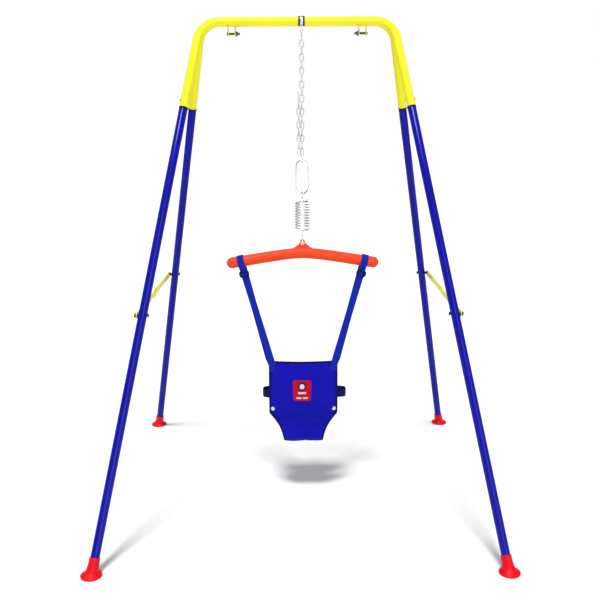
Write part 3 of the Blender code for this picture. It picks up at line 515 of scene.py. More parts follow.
def swept(points, section, normals=None, closed=False, scales=None):
    """Vertices, faces and UVs in metres of a section carried along a path."""
    points = [Vector(point) for point in points]
    frames = frames_along(points, closed, normals)
    size = len(section)
    around = [0.0]
    for first, second in zip(section, section[1:]):
        around.append(around[-1] + math.dist(first, second))
    verts = []
    uvs = []
    travelled = 0.0
    for index, (point, (side, level)) in enumerate(zip(points, frames)):
        scale = scales[index] if scales else 1.0
        travelled += (point - points[index - 1]).length if index else 0.0
        for (a, b), u in zip(section, around):
            verts.append(point + scale * (a * side + b * level))
            uvs.append((u, travelled))
    faces = []
    rings = len(points)
    for ring in range(rings if closed else rings - 1):
        for corner in range(size):
            a = ring * size + corner
            b = ring * size + (corner + 1) % size
            c = (ring + 1) % rings * size + (corner + 1) % size
            d = (ring + 1) % rings * size + corner
            faces.append((a, d, c, b))
    if not closed:
        faces.append(tuple(range(size)))
        faces.append(tuple(reversed(range((rings - 1) * size, rings * size))))
    return verts, faces, uvs


def joined(*shapes):
    """Several (verts, faces, uvs) as one."""
    verts, faces, uvs = [], [], []
    for more_verts, more_faces, more_uvs in shapes:
        start = len(verts)
        verts += more_verts
        uvs += more_uvs
        faces += [tuple(start + index for index in face) for face in more_faces]
    return verts, faces, uvs


def lathe(profile, matrix, steps=32):
    """A turned solid. The outline (radius, z) runs from the axis round to the axis again."""
    verts, faces, uvs = [], [], []
    rings = []
    travelled = 0.0
    for index, (radius, z) in enumerate(profile):
        travelled += math.dist(profile[index - 1], (radius, z)) if index else 0.0
        if radius < 1e-7:
            rings.append([len(verts)] * steps)
            verts.append(matrix @ Vector((0, 0, z)))
            uvs.append((0, travelled))
            continue
        rings.append(list(range(len(verts), len(verts) + steps)))
        for step in range(steps):
            angle = 2 * math.pi * step / steps
            verts.append(matrix @ Vector((radius * math.cos(angle), radius * math.sin(angle), z)))
            uvs.append((radius * angle, travelled))
    for first, second in zip(rings, rings[1:]):
        for step in range(steps):
            after = (step + 1) % steps
            face = [first[step], second[step], second[after], first[after]]
            face = tuple(dict.fromkeys(face))
            if len(face) > 2:
                faces.append(face)
    return verts, faces, uvs


def ring_profile(outer, inner, high, low, edge):
    """A closed ring's outline, down the outer side, with rounded outer edges."""
    return [
        (inner, high),
        (outer - edge, high),
        (outer - 0.3 * edge, high - 0.3 * edge),
        (outer, high - edge),
        (outer, low + edge),
        (outer - 0.3 * edge, low + 0.3 * edge),
        (outer - edge, low),
        (inner, low),
        (inner, high),
    ]


def arc(centre, radius, start, end, steps):
    angles = [math.radians(start + (end - start) * step / steps) for step in range(steps + 1)]
    return [
        (centre[0] + radius * math.cos(angle), centre[1] + radius * math.sin(angle))
        for angle in angles
    ]


def eased(points, per_span=6, closed=False):
    """A smooth curve through the points."""
    points = [Vector(point) for point in points]
    count = len(points)
    spans = count if closed else count - 1
    curve = []
    for span in range(spans):
        if closed:
            a, b, c, d = (points[(span + offset) % count] for offset in (-1, 0, 1, 2))
        else:
            a, b, c, d = (points[min(max(span + offset, 0), count - 1)] for offset in (-1, 0, 1, 2))
        for step in range(per_span):
            t = step / per_span
            curve.append(
                0.5
                * (
                    2 * b
                    + (c - a) * t
                    + (2 * a - 5 * b + 4 * c - d) * t * t
                    + (3 * b - a - 3 * c + d) * t * t * t
                )
            )
    if not closed:
        curve.append(points[-1])
    return curve


def refined(node, material, body, edge=0.0004):
    """A CAD node's own shape with softened edges and a finished material."""
    item = new_object(f"{node}_detail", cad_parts[node].data.copy())
    repaint(item, material)
    item.data.shade_smooth()
    modifier(item, "WELD", merge_threshold=0.00002)
    modifier(
        item,
        "BEVEL",
        width=edge,
        segments=2,
        limit_method="ANGLE",
        angle_limit=math.radians(32),
        harden_normals=False,
    )
    bake(item)
    smooth(item.data, 40)
    finish_piece(item, body, (node,))


# Frame


def frame_matrix(depth):
    """A tube frame's own plane: X along the bar, -Z down its middle."""
    place = Matrix.Translation((0, depth * BAR_SPACING / 2, BAR_HEIGHT))
    return place @ Matrix.Rotation(depth * LEAN, 4, "X")


def leg_matrix(depth, sign):
    corner = Matrix.Translation((sign * BAR_CORNER_X, 0, 0))
    return frame_matrix(depth) @ corner @ Matrix.Rotation(-sign * SPLAY, 4, "Y")


def make_top_tube(end, depth, body):
    turn = math.pi / 2 - SPLAY
    bend_x = BAR_CORNER_X - BEND_RADIUS * math.tan(turn / 2)
    bend = arc((bend_x, -BEND_RADIUS), BEND_RADIUS, 90, 90 - math.degrees(turn), 18)
    low = (BAR_CORNER_X + JOIN_AT * math.sin(SPLAY), -JOIN_AT * math.cos(SPLAY))
    lip = (low[0] - TUBE_LIP * math.sin(SPLAY), low[1] + TUBE_LIP * math.cos(SPLAY))
    right = [(0.04, 0), (0.12, 0), *bend, lip, low]
    flat = [(-x, z) for x, z in reversed(right)] + right
    points = [frame_matrix(depth) @ Vector((x, 0, z)) for x, z in flat]
    scales = [TUBE_LIP_SCALE] + [1.0] * (len(points) - 2) + [TUBE_LIP_SCALE]
    shape = swept(points, circle(TUBE_RADIUS, TUBE_SIDES), scales=scales)
    name = f"{end}_top_tube"
    stand_in(name, shape, YELLOW, body)


def make_leg(end, side, sign, depth, body):
    axis = leg_matrix(depth, sign)
    high = -JOIN_AT - RING_HEIGHT - 0.0006
    stations = [high, high - TUBE_LIP, -0.5, -0.9, -LEG_LENGTH + 0.0083]
    points = [axis @ Vector((0, 0, z)) for z in stations]
    shape = swept(points, circle(TUBE_RADIUS, TUBE_SIDES), scales=[TUBE_LIP_SCALE, 1, 1, 1, 1])
    name = f"{end}_{side}_leg"
    stand_in(name, shape, BLUE, body)
    ring = ring_profile(RING_RADIUS, 0.0095, -JOIN_AT - 0.0003, -JOIN_AT - RING_HEIGHT, 0.0006)
    shape = lathe(ring, axis)
    name = f"{end}_{side}_joint_ring"
    stand_in(name, shape, BLACK, body)


def make_foot(end, side, sign, depth, body):
    """The flared foot, its sleeve and base melted together like a moulding."""
    spot = Matrix.Translation((sign * FOOT_SPACING / 2, depth * BASE_DEPTH / 2, 0))
    base = [(0, 0.0135), (0.014, 0.0130), (0.0185, 0.0092), (0.0225, 0.0066), (0.0250, 0.0052)]
    base += [(FOOT_RADIUS, 0.0038), (FOOT_RADIUS, 0.0010), (0.0251, FOOT_LIFT), (0, FOOT_LIFT)]
    shape = lathe(base, spot, 48)
    high = -LEG_LENGTH + FOOT_SLEEVE_TOP
    low = -LEG_LENGTH + 0.0095
    sleeve = [(0, high), (0.0118, high), (FOOT_SLEEVE_RADIUS, high - 0.0010)]
    sleeve += [(FOOT_SLEEVE_RADIUS + 0.0004, low + 0.018), (FOOT_SLEEVE_RADIUS + 0.0016, low + 0.008)]
    sleeve += [(FOOT_SLEEVE_RADIUS + 0.0028, low), (0, low)]
    shape = joined(shape, lathe(sleeve, leg_matrix(depth, sign), 48))
    name = f"{end}_{side}_foot"
    foot = add(f"{name}_visual", (*shape[:2], None), RED, None)
    modifier(foot, "REMESH", mode="VOXEL", voxel_size=0.0009, use_smooth_shade=True)
    modifier(foot, "SMOOTH", factor=0.5, iterations=6)
    bake(foot)
    for vertex in foot.data.vertices:
        if vertex.co.z < 0.0007:
            vertex.co.z = FOOT_LIFT
    repaint(foot, RED)
    finish_piece(foot, body, (name,))


def make_screw(end, side, sign, depth, body):
    """A domed screw with a cross recess."""
    out = leg_matrix(depth, sign) @ Matrix.Translation((0, 0, -JOIN_AT + SCREW_ABOVE_JOIN))
    out = out @ Matrix.Rotation(sign * math.pi / 2, 4, "Y")
    seat = TUBE_RADIUS + 0.0002
    dome = [(0, seat + 0.0023), (0.0012, seat + 0.00225), (0.0024, seat + 0.0019)]
    dome += [(0.0034, seat + 0.0012), (0.0039, seat + 0.0003), (0.0039, seat), (0, seat)]
    name = f"{end}_{side}_screw"
    shape = lathe(dome, out, 20)
    screw = add(f"{name}_visual", (*shape[:2], None), ZINC, None)
    recess = [(-0.0004, -0.0009), (0.0004, -0.0009), (0.0004, 0.0009), (-0.0004, 0.0009)]
    for index, turn in enumerate((0, 90)):
        matrix = out @ Matrix.Rotation(math.radians(turn), 4, "Z")
        path = [matrix @ Vector((x, 0, seat + 0.0022)) for x in (-0.0022, 0.0022)]
        up = (matrix.to_3x3() @ Vector((0, 0, 1))).normalized()
        cut(screw, f"{name}_cut_{index}", swept(path, recess, [up, up]))
    finish_piece(screw, body, (name,))


def make_frames():
    for end, depth in ENDS:
        body = f"{end}_frame"
        make_top_tube(end, depth, body)
        for side, sign in SIDES:
            make_leg(end, side, sign, depth, body)
            make_foot(end, side, sign, depth, body)
            make_screw(end, side, sign, depth, body)
            refined(f"{end}_{side}_lug", YELLOW, body, 0.0005)
            refined(f"{end}_{side}_stay_bolt", BLACK, body, 0.0004)
            refined(f"{end}_{side}_stay", YELLOW, f"{end}_{side}_stay_arm", 0.0004)
    for side, _ in SIDES:
        refined(f"fold_bolt_{side}", DARK_STEEL, "front_frame", 0.0003)
        refined(f"fold_nut_{side}", DARK_STEEL, "front_frame", 0.0003)


# Hanging line


def make_hanger():
    """The strap over the bar and the rubber rings that keep it in place."""
    refined("hanger_strap", ZINC, "front_frame", 0.0003)
    for side, sign in SIDES:
        name = f"stop_ring_{side}"
        place = Matrix.Translation((HANG_X + sign * 0.0062, HANG_Y, BAR_HEIGHT))
        place = place @ Matrix.Rotation(math.pi / 2, 4, "Y")
        shape = lathe(ring_profile(0.01295, 0.0113, 0.0022, -0.0022, 0.0007), place, 48)
        stand_in(name, shape, RUBBER, "front_frame")


def link_path(top, height, width, turn, twist, offset=Vector((0, 0, 0)), steps=12):
    """A closed oval link in a plane turned about Z, its lower bow twisted against the upper one."""
    radius = width / 2
    flat = arc((0, top - radius), radius, 0, 180, steps)
    flat += arc((0, top - height + radius), radius, 180, 360, steps)
    path = []
    for u, z in flat:
        share = (top - z) / height - 0.5
        angle = math.radians(turn + twist * share)
        path.append(HANG + offset + Vector((u * math.cos(angle), u * math.sin(angle), z)))
    return path


def make_links():
    """The top link, the chain's load strand, and its spare end hooked back up beside it."""
    wire = circle(TOP_LINK_WIRE, 12)
    path = link_path(TOP_LINK_Z, TOP_LINK_HEIGHT, TOP_LINK_WIDTH, 90, 0)
    shape = swept(path, wire, closed=True)
    stand_in("top_link", shape, ZINC, "hang_link")
    wire = circle(LINK_WIRE, 10)
    links = []
    for number in range(LINK_COUNT):
        turn = 0 if number % 2 == 0 else 90
        top = CHAIN_Z - number * LINK_PITCH
        twist = 0 if number in (0, LINK_COUNT - 1) else 24
        links.append(swept(link_path(top, LINK_HEIGHT, LINK_WIDTH, turn, twist), wire, closed=True))
    shape = joined(*links)
    stand_in("chain", shape, ZINC, "chain_line")
    links = []
    for number in range(TAIL_FIRST, LINK_COUNT - 1):
        turn = 8 if number % 2 == 0 else 98
        top = CHAIN_Z - number * LINK_PITCH
        path = link_path(top, LINK_HEIGHT, LINK_WIDTH, turn, 24, TAIL_OFFSET)
        links.append(swept(path, wire, closed=True))
    bow = CHAIN_Z - TAIL_FIRST * LINK_PITCH
    window = CHAIN_Z - (TAIL_FIRST - 2) * LINK_PITCH - LINK_HEIGHT / 2
    base = HANG + TAIL_OFFSET
    hook_y = -TAIL_OFFSET.y - 0.0017
    route = [(-0.0008, 0, bow - 0.001), (-0.0015, 0.0010, bow + 0.004), (-0.0015, hook_y, window - 0.004)]
    route += [(-0.0004, hook_y, window - 0.0008), (0.003, hook_y, window)]
    route += [(0.0110, hook_y, window), (0.0122, hook_y, window + 0.002)]
    route = [base + Vector(point) for point in route]
    links.append(swept(eased(route), circle(TAIL_HOOK_WIRE, 10)))
    shape = joined(*links)
    stand_in("chain_tail", shape, ZINC, "chain_line")


def make_carabiner():
    """The snap hook's body with a swelling at each end of its gap, and the gate with its pin."""
    high = CARABINER_TOP_Z - CARABINER_TOP_RADIUS
    low = CARABINER_TOP_Z - CARABINER_HEIGHT + CARABINER_LOW_RADIUS
    top = arc((0, high), CARABINER_TOP_RADIUS, GATE_CUT, 180, 22)
    bottom = arc((0, low), CARABINER_LOW_RADIUS, 180, 360 - GATE_CUT, 22)
    path = [HANG + Vector((x, 0, z)) for x, z in top + bottom]
    scales = [0.75, 0.97] + [1.0] * (len(path) - 4) + [0.97, 0.75]
    body = swept(path, circle(CARABINER_WIRE, 20), scales=scales)
    stand_in("carabiner", body, CHROME, "chain_line")
    foot = HANG + Vector((bottom[-1][0], 0, bottom[-1][1] + 0.0014))
    tip = HANG + Vector((top[0][0], 0, top[0][1] - 0.0014))
    stations = [0.0, 0.012, 0.05, 0.93, 0.975, 1.0]
    path = [foot.lerp(tip, share) for share in stations]
    gate = swept(path, circle(GATE_WIRE, 18), scales=[0.8, 1.0, 1.0, 1.0, 0.95, 0.7])
    across = Matrix.Rotation(math.pi / 2, 4, "X")
    pin = [(0, 0.0027), (0.0008, 0.0026), (0.0010, 0.0022)]
    pin += [(radius, -z) for radius, z in reversed(pin)]
    pins = [Matrix.Translation(foot.lerp(tip, share)) @ across for share in (0.06, 0.95)]
    shape = joined(gate, *[lathe(pin, place, 14) for place in pins])
    stand_in("carabiner_gate", shape, CHROME, "gate")


def spring_hook(bow_z, arm_z):
    """From the coil's rim in to the middle and round a loop in the YZ plane."""
    way = 1 if bow_z > arm_z else -1
    near = arm_z + way * 0.0090
    width = HOOK_HALF_WIDTH
    points = [(SPRING_RADIUS - 0.001, 0, arm_z), (0.011, 0, arm_z), (0.003, 0, arm_z + way * 0.0004)]
    points += [(0.0004, 0, arm_z + way * 0.004), (0, 0.0010, near - way * 0.0014), (0, 0.0040, near)]
    points += [(0, width - 0.0008, near + way * 0.0018), (0, width, near + way * 0.0045)]
    points += [(0, width, bow_z - way * 0.0036), (0, width - 0.0024, bow_z - way * 0.0004)]
    points += [(0, 0.0020, bow_z), (0, -0.0020, bow_z), (0, -width + 0.0024, bow_z - way * 0.0004)]
    points += [(0, -width, bow_z - way * 0.0036), (0, -width, near + way * 0.0045)]
    points += [(0, -width + 0.0008, near + way * 0.0018), (0, -0.0050, near)]
    return swept(eased([HANG + Vector(point) for point in points]), circle(SPRING_WIRE, 16))


def make_spring():
    """The coil, which stretches between its two ends, and the hook at each end."""
    steps = SPRING_TURNS * 32
    length = COIL_TOP_Z - COIL_LOW_Z
    path = []
    for step in range(steps + 1):
        angle = 2 * math.pi * SPRING_TURNS * step / steps
        rim = Vector((math.cos(angle), math.sin(angle), 0)) * SPRING_RADIUS
        path.append(HANG + rim + Vector((0, 0, COIL_TOP_Z - length * step / steps)))
    shape = swept(path, circle(SPRING_WIRE, 12))
    coil = stand_in("spring_coil", shape, CHROME, None)
    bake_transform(coil)
    arm = 2 * SPRING_WIRE + HOOK_GAP
    upper_bow = CARABINER_TOP_Z - CARABINER_HEIGHT + CARABINER_WIRE + SPRING_WIRE + HOOK_GAP
    for name, bow, start, body in (
        ("spring_hook_upper", upper_bow, COIL_TOP_Z + arm, "spring_top"),
        ("spring_hook_lower", EYE_Z, COIL_LOW_Z - arm, "spring_low"),
    ):
        shape = spring_hook(bow, start)
        stand_in(name, shape, CHROME, body)


# Spreader bar


def spreader_z(x):
    return SPREADER_MID_Z - SPREADER_SLOPE * (math.hypot(x, SPREADER_BEND) - SPREADER_BEND)


def spreader_radius(x):
    share = min(1.0, abs(x) / SPREADER_HALF)
    return SPREADER_MID_RADIUS + (SPREADER_END_RADIUS - SPREADER_MID_RADIUS) * share


def make_spreader():
    """The bowed bar and its peak, melted together like a moulding, then drilled for the eyelet."""
    straight = SPREADER_HALF - SPREADER_END_RADIUS
    stations = [straight * (step / 24 - 1) for step in range(49)]
    caps = [math.radians(angle) for angle in (12, 24, 36, 48, 60, 70, 78, 84)]
    ends = [(straight + SPREADER_END_RADIUS * math.sin(a), math.cos(a)) for a in caps]
    xs = [-x for x, _ in reversed(ends)] + stations + [x for x, _ in ends]
    shares = [s for _, s in reversed(ends)] + [1.0] * len(stations) + [s for _, s in ends]
    points = [HANG + Vector((x, 0, spreader_z(x))) for x in xs]
    scales = [spreader_radius(x) * share for x, share in zip(xs, shares)]
    bar = swept(points, circle(1.0, 36), scales=scales)
    high = PEAK_TOP_Z - 0.0030
    base = SPREADER_MID_Z + 0.78 * SPREADER_MID_RADIUS
    outline = []
    for step in range(17):
        t = step / 16
        outline.append((0.0058 + 0.0260 * t**2.1, high + (base - high) * t))
    crown = [(0.0052, high + 0.0012), (0.0036, high + 0.0024), (0.0016, high + 0.0029)]
    crown += [(-x, z) for x, z in reversed(crown)]
    outline = outline[::-1] + crown + [(-x, z) for x, z in outline]
    sides = (-PEAK_HALF_THICKNESS, PEAK_HALF_THICKNESS)
    verts = [HANG + Vector((x, y, z)) for y in sides for x, z in outline]
    size = len(outline)
    faces = [tuple(range(size)), tuple(reversed(range(size, 2 * size)))]
    faces += [(i, i + size, (i + 1) % size + size, (i + 1) % size) for i in range(size)]
    faces = [tuple(reversed(face)) for face in faces]
    shape = joined(bar, (verts, faces, [(0, 0)] * len(verts)))
    item = add("spreader_bar_visual", (*shape[:2], None), ORANGE, None)
    modifier(item, "REMESH", mode="VOXEL", voxel_size=0.0011, use_smooth_shade=True)
    modifier(item, "SMOOTH", factor=0.5, iterations=5)
    bake(item)
    across = Matrix.Translation((HANG_X, HANG_Y, EYE_Z)) @ Matrix.Rotation(math.pi / 2, 4, "X")
    bore = lathe([(0, 0.012), (0.0051, 0.012), (0.0051, -0.012), (0, -0.012)], across, 40)
    cut(item, "eye_bore", bore)
    repaint(item, ORANGE)
    smooth(item.data, 50)
    finish_piece(item, "spreader", ("spreader_bar",))
    ridges = []
    steps = range(PARTING_STEPS + 1)
    fade = [min(1.0, 0.2 + min(step, PARTING_STEPS - step) / 4) for step in steps]
    for way, low, high in (
        (1, -PARTING_END, -PARTING_START),
        (1, PARTING_START, PARTING_END),
        (-1, -PARTING_END, PARTING_END),
    ):
        line = []
        for step in steps:
            x = low + (high - low) * step / PARTING_STEPS
            rise = way * (spreader_radius(x) - 0.0002)
            line.append(HANG + Vector((x, 0, spreader_z(x) + rise)))
        ridges.append(swept(line, circle(0.00045, 8), scales=fade))
    shape = joined(*ridges)
    add("spreader_parting_line", shape, ORANGE, "spreader")
    half = EYELET_HALF
    profile = [(0.0034, half - 0.0004), (0.0040, half), (0.0050, half), (0.0056, half - 0.0005)]
    profile += [(0.0049, half - 0.0009), (0.0049, -half + 0.0009), (0.0056, -half + 0.0005)]
    profile += [(0.0050, -half), (0.0040, -half), (0.0034, -half + 0.0004), (0.0032, 0), profile[0]]
    shape = lathe(profile, across, 32)
    stand_in("spreader_eyelet", shape, ZINC, "spreader")


# Seat


def seat_profile(share, top_z):
    """A panel's distance from the hanging line and its height, from its top to the crotch."""
    bend = 0.72
    corner_z = SEAT_BOTTOM_Z + CROTCH_DROP
    if share < bend:
        t = share / bend
        depth = SEAT_HALF_DEPTH + SEAT_BULGE * math.sin(math.pi * min(1.0, 1.15 * t))
        return depth, top_z + (corner_z - top_z) * t
    angle = (share - bend) / (1 - bend) * math.pi / 2
    return SEAT_HALF_DEPTH * math.cos(angle), corner_z - CROTCH_DROP * math.sin(angle)


def seat_half_width(z, top_z):
    if z > top_z - SEAT_CORNER:
        return SEAT_HALF_WIDTH - 1.6 * (z - top_z + SEAT_CORNER)
    if z > SEAT_CUT_Z:
        return SEAT_HALF_WIDTH
    share = max(0.0, (z - SEAT_BOTTOM_Z) / (SEAT_CUT_Z - SEAT_BOTTOM_Z))
    return SEAT_CROTCH_HALF + (SEAT_HALF_WIDTH - SEAT_CROTCH_HALF) * share**2.1


def panel_point(across, share, top_z, facing, offset=0.0):
    depth, z = seat_profile(share, top_z)
    x = across * seat_half_width(z, top_z)
    wrap = 1.3 * x * x * (1 - share**3)
    return Vector((HANG_X + x, HANG_Y + facing * (depth + offset - wrap), z))


def panel_surface(x, z, top_z, facing, offset):
    low, high = 0.0, 1.0
    for _ in range(40):
        middle = (low + high) / 2
        if seat_profile(middle, top_z)[1] > z:
            low = middle
        else:
            high = middle
    return panel_point(x / seat_half_width(z, top_z), low, top_z, facing, offset)


COLUMNS = 40
DART_COLUMN = 22
FRONT_ROWS = 52
BACK_ROWS = 44
# Half the sling's thickness: at its edges, what the padding adds, and where seam and dart pull it in
EDGE_HALF = 0.0009
PADDING_HALF = 0.0016
SEAM_HALF = 0.0011
DART_HALF = 0.0004
PUFF_FRAMES = 20


def sling_rows():
    """The middle surface of the whole sling: front panel, crotch and back panel."""
    across = [2 * column / COLUMNS - 1 for column in range(COLUMNS + 1)]
    rows = []
    for row in range(FRONT_ROWS + 1):
        share = (row / FRONT_ROWS) ** 0.95
        rows.append([panel_point(x, share, SEAT_TOP_Z, -1) for x in across])
    for row in range(1, BACK_ROWS + 1):
        share = (1 - row / BACK_ROWS) ** 0.95
        rows.append([panel_point(x, share, SEAT_BACK_TOP_Z, 1) for x in across])
    crotch = FRONT_ROWS
    for index, row in enumerate(rows):
        near = math.exp(-(((index - crotch) / 4.0) ** 2))
        for point in row:
            x = point.x - HANG_X
            point.z += 0.0032 * near * math.exp(-(((x - DART_X) / 0.011) ** 2))
            point.z += 0.0010 * near * math.cos(math.pi * min(1, abs(x) / SEAT_CROTCH_HALF))
    return rows


def sling_normals(rows):
    """Outward normals of the middle surface."""
    normals = []
    last_row, last_column = len(rows) - 1, len(rows[0]) - 1
    for i in range(len(rows)):
        line = []
        for j in range(len(rows[0])):
            down = rows[min(i + 1, last_row)][j] - rows[max(i - 1, 0)][j]
            across = rows[i][min(j + 1, last_column)] - rows[i][max(j - 1, 0)]
            line.append(down.cross(across).normalized())
        normals.append(line)
    return normals


def cloth_creases(point, below_seam, on_front):
    """Height of the soft folds: upright ones under the crotch seam, slack ones over the panels."""
    x, z = point.x - HANG_X, point.z
    slack = 0.0008 * noise.noise(Vector((x * 18, point.y * 6, z * 26)))
    slack += 0.0005 * noise.noise(Vector((x * 55 + 7, 3.0, z * 30)))
    if not on_front:
        return slack
    under = max(0.0, 1 - abs(below_seam - 9) / 10)
    gather = 0.0026 * under * math.sin(2 * math.pi * (x - DART_X) / 0.034 + 1.2 * math.sin(9 * z))
    pucker = 0.0004 * math.exp(-abs(below_seam) / 2) * math.sin(2 * math.pi * x / 0.0098)
    return slack + gather + pucker


def grid_rim(height, width):
    """The indices round a grid of points."""
    rim = list(range(width)) + [i * width + width - 1 for i in range(1, height)]
    rim += [(height - 1) * width + j for j in range(width - 2, -1, -1)]
    return rim + [i * width for i in range(height - 2, 0, -1)]


def shell_faces(height, width):
    """A closed sheet's faces: a grid, the same grid behind it and the rim between them."""
    size = height * width
    faces = []
    for i in range(height - 1):
        for j in range(width - 1):
            a = i * width + j
            b, c, d = a + 1, a + width + 1, a + width
            faces.append((a, d, c, b))
            faces.append((a + size, b + size, c + size, d + size))
    rim = grid_rim(height, width)
    for first, second in zip(rim, rim[1:] + rim[:1]):
        faces.append((first, second, second + size, first + size))
    return faces


def make_sling():
    """The padded sling, blown up a little between its bound edges, with its binding and stitches."""
    rows = sling_rows()
    normals = sling_normals(rows)
    count_rows, count_columns = len(rows), len(rows[0])
    verts, uvs, pins = [], [], []
    along = [0.0]
    for first, second in zip(rows, rows[1:]):
        along.append(along[-1] + (second[COLUMNS // 2] - first[COLUMNS // 2]).length)
    seam_row = min(range(FRONT_ROWS), key=lambda i: abs(rows[i][COLUMNS // 2].z - SEAM_Z))
    for face in (1, -1):
        for i in range(count_rows):
            for j in range(count_columns):
                edge = min(i, count_rows - 1 - i, j, count_columns - 1 - j)
                full = 1 - math.exp(-edge / 2.2)
                crease = full * cloth_creases(rows[i][j], i - seam_row, i < FRONT_ROWS)
                seam = abs(i - seam_row) < 1 and i < FRONT_ROWS
                dart = j == DART_COLUMN and seam_row - 4 <= i <= FRONT_ROWS + 4
                half = EDGE_HALF + PADDING_HALF * full
                if seam or dart:
                    half = SEAM_HALF if seam else DART_HALF
                    crease *= 0.3
                if edge < 2 or seam or dart:
                    pins.append(len(verts))
                verts.append(rows[i][j] + (face * half + crease) * normals[i][j])
                uvs.append((rows[i][j].x + face, along[i]))
    shape = verts, shell_faces(count_rows, count_columns), uvs
    sling = add("seat_sling", shape, SEAT, None)
    puff(sling, pins, 2.2, 0.0028)
    modifier(sling, "SUBSURF", levels=1, render_levels=1)
    bake(sling)
    finish_piece(sling, "seat", ("seat_front_panel", "seat_back_panel"))
    mesh = sling.data
    polygons = [tuple(face.vertices) for face in mesh.polygons]
    skin = BVHTree.FromPolygons([vertex.co.copy() for vertex in mesh.vertices], polygons)
    rim = [divmod(index, count_columns) for index in grid_rim(count_rows, count_columns)]
    make_binding([rows[i][j] for i, j in rim], [normals[i][j] for i, j in rim])
    make_seams(skin, rows, normals, seam_row)
    return skin


def puff(item, pins, pressure, cap):
    """Blow the padding up a little between the pinned edges and seams, then keep the shape.

    No point moves further than the cap."""
    rest = [vertex.co.copy() for vertex in item.data.vertices]
    group = item.vertex_groups.new(name="pins")
    group.add(pins, 1.0, "REPLACE")
    cloth = modifier(item, "CLOTH")
    cloth.settings.quality = 6
    cloth.settings.mass = 0.25
    cloth.settings.use_pressure = True
    cloth.settings.uniform_pressure_force = pressure
    cloth.settings.vertex_group_mass = "pins"
    cloth.settings.effector_weights.gravity = 0.0
    cloth.settings.shrink_min = -0.035
    cloth.collision_settings.use_collision = False
    cloth.point_cache.frame_start = 1
    cloth.point_cache.frame_end = PUFF_FRAMES
    for step in range(1, PUFF_FRAMES + 1):
        SCENE.frame_set(step)
    evaluated = item.evaluated_get(bpy.context.evaluated_depsgraph_get())
    moved = [vertex.co.copy() for vertex in evaluated.data.vertices]
    item.modifiers.remove(cloth)
    item.vertex_groups.clear()
    SCENE.frame_set(1)
    for vertex, start, end in zip(item.data.vertices, rest, moved):
        shift = end - start
        if shift.length > cap:
            shift *= cap / shift.length
        vertex.co = start + shift


def make_binding(path, levels):
    """Folded tape round the whole edge of the sling."""
    inset = []
    for index, (point, level) in enumerate(zip(path, levels)):
        along = way_at(path, index, closed=True)
        inset.append(point + 0.0029 * along.cross(level).normalized())
    shape = swept(inset, oval(0.0034, 0.0028, 16), levels, closed=True)
    add("seat_binding", shape, BINDING, "seat")


def stitches(path, normals, spacing=0.0042, length=0.0028, width=0.00042):
    """Short raised threads along a path."""
    shapes = []
    travelled = 0.0
    following = spacing / 2
    for index in range(1, len(path)):
        start, end = path[index - 1], path[index]
        step = (end - start).length
        while travelled + step > following:
            share = (following - travelled) / step
            centre = start.lerp(end, share) + normals[index] * 0.0001
            way = (end - start).normalized()
            thread = [centre + way * length * t for t in (-0.5, -0.36, 0, 0.36, 0.5)]
            level = [normals[index]] * len(thread)
            scales = [0.4, 0.85, 1.0, 0.85, 0.4]
            shapes.append(swept(thread, circle(width, 6), level, scales=scales))
            following += spacing
        travelled += step
    return shapes


def skin_point(skin, point, normal, lift=0.0):
    """The point on the padded cloth straight below a point outside it."""
    hit = skin.ray_cast(point + 0.02 * normal, -normal, 0.10)[0]
    return (hit or point) + lift * normal


def front_point(skin, x, z, lift=0.0):
    return skin_point(skin, HANG + Vector((x, -0.075, z)), Vector((0, -1, 0)), lift)


def make_seams(skin, rows, normals, seam_row):
    """Stitch lines beside the crotch seam, the centre dart and the bound edge."""
    lines = []
    for i in (seam_row - 1, seam_row + 1):
        lines.append([(i, j) for j in range(2, COLUMNS - 1)])
    for j in (DART_COLUMN - 1, DART_COLUMN + 1):
        lines.append([(i, j) for i in range(seam_row + 2, FRONT_ROWS + 1)])
    last = len(rows) - 1
    for j in (2, COLUMNS - 2):
        lines.append([(i, j) for i in range(2, last - 1)])
    for i in (2, last - 2):
        lines.append([(i, j) for j in range(3, COLUMNS - 2)])
    shapes = []
    for line in lines:
        level = [normals[i][j] for i, j in line]
        points = [skin_point(skin, rows[i][j], normals[i][j]) for i, j in line]
        shapes += stitches(points, level)
    shape = joined(*shapes)
    add("seam_stitches", shape, THREAD, "seat")


def strap_path(sign):
    """The strap's middle line: up from the front panel, over the bar and down to the back panel."""
    centre = HANG + Vector((sign * STRAP_BAR_X, 0, spreader_z(STRAP_BAR_X)))
    up = Vector((sign * math.sin(STRAP_LEAN), 0, math.cos(STRAP_LEAN)))
    radius = spreader_radius(STRAP_BAR_X) + STRAP_CLEAR
    loop = []
    for step in range(17):
        angle = math.pi * step / 16
        loop.append(centre + radius * (math.sin(angle) * up - math.cos(angle) * Vector((0, 1, 0))))
    lift = 0.0040
    front = panel_surface(sign * STRAP_SEAT_X, SEAT_TOP_Z - 0.010, SEAT_TOP_Z, -1, lift)
    back_x = sign * (STRAP_SEAT_X + STRAP_BACK_OUT)
    back = panel_surface(back_x, SEAT_BACK_TOP_Z - 0.010, SEAT_BACK_TOP_Z, 1, lift)
    return front, loop, back


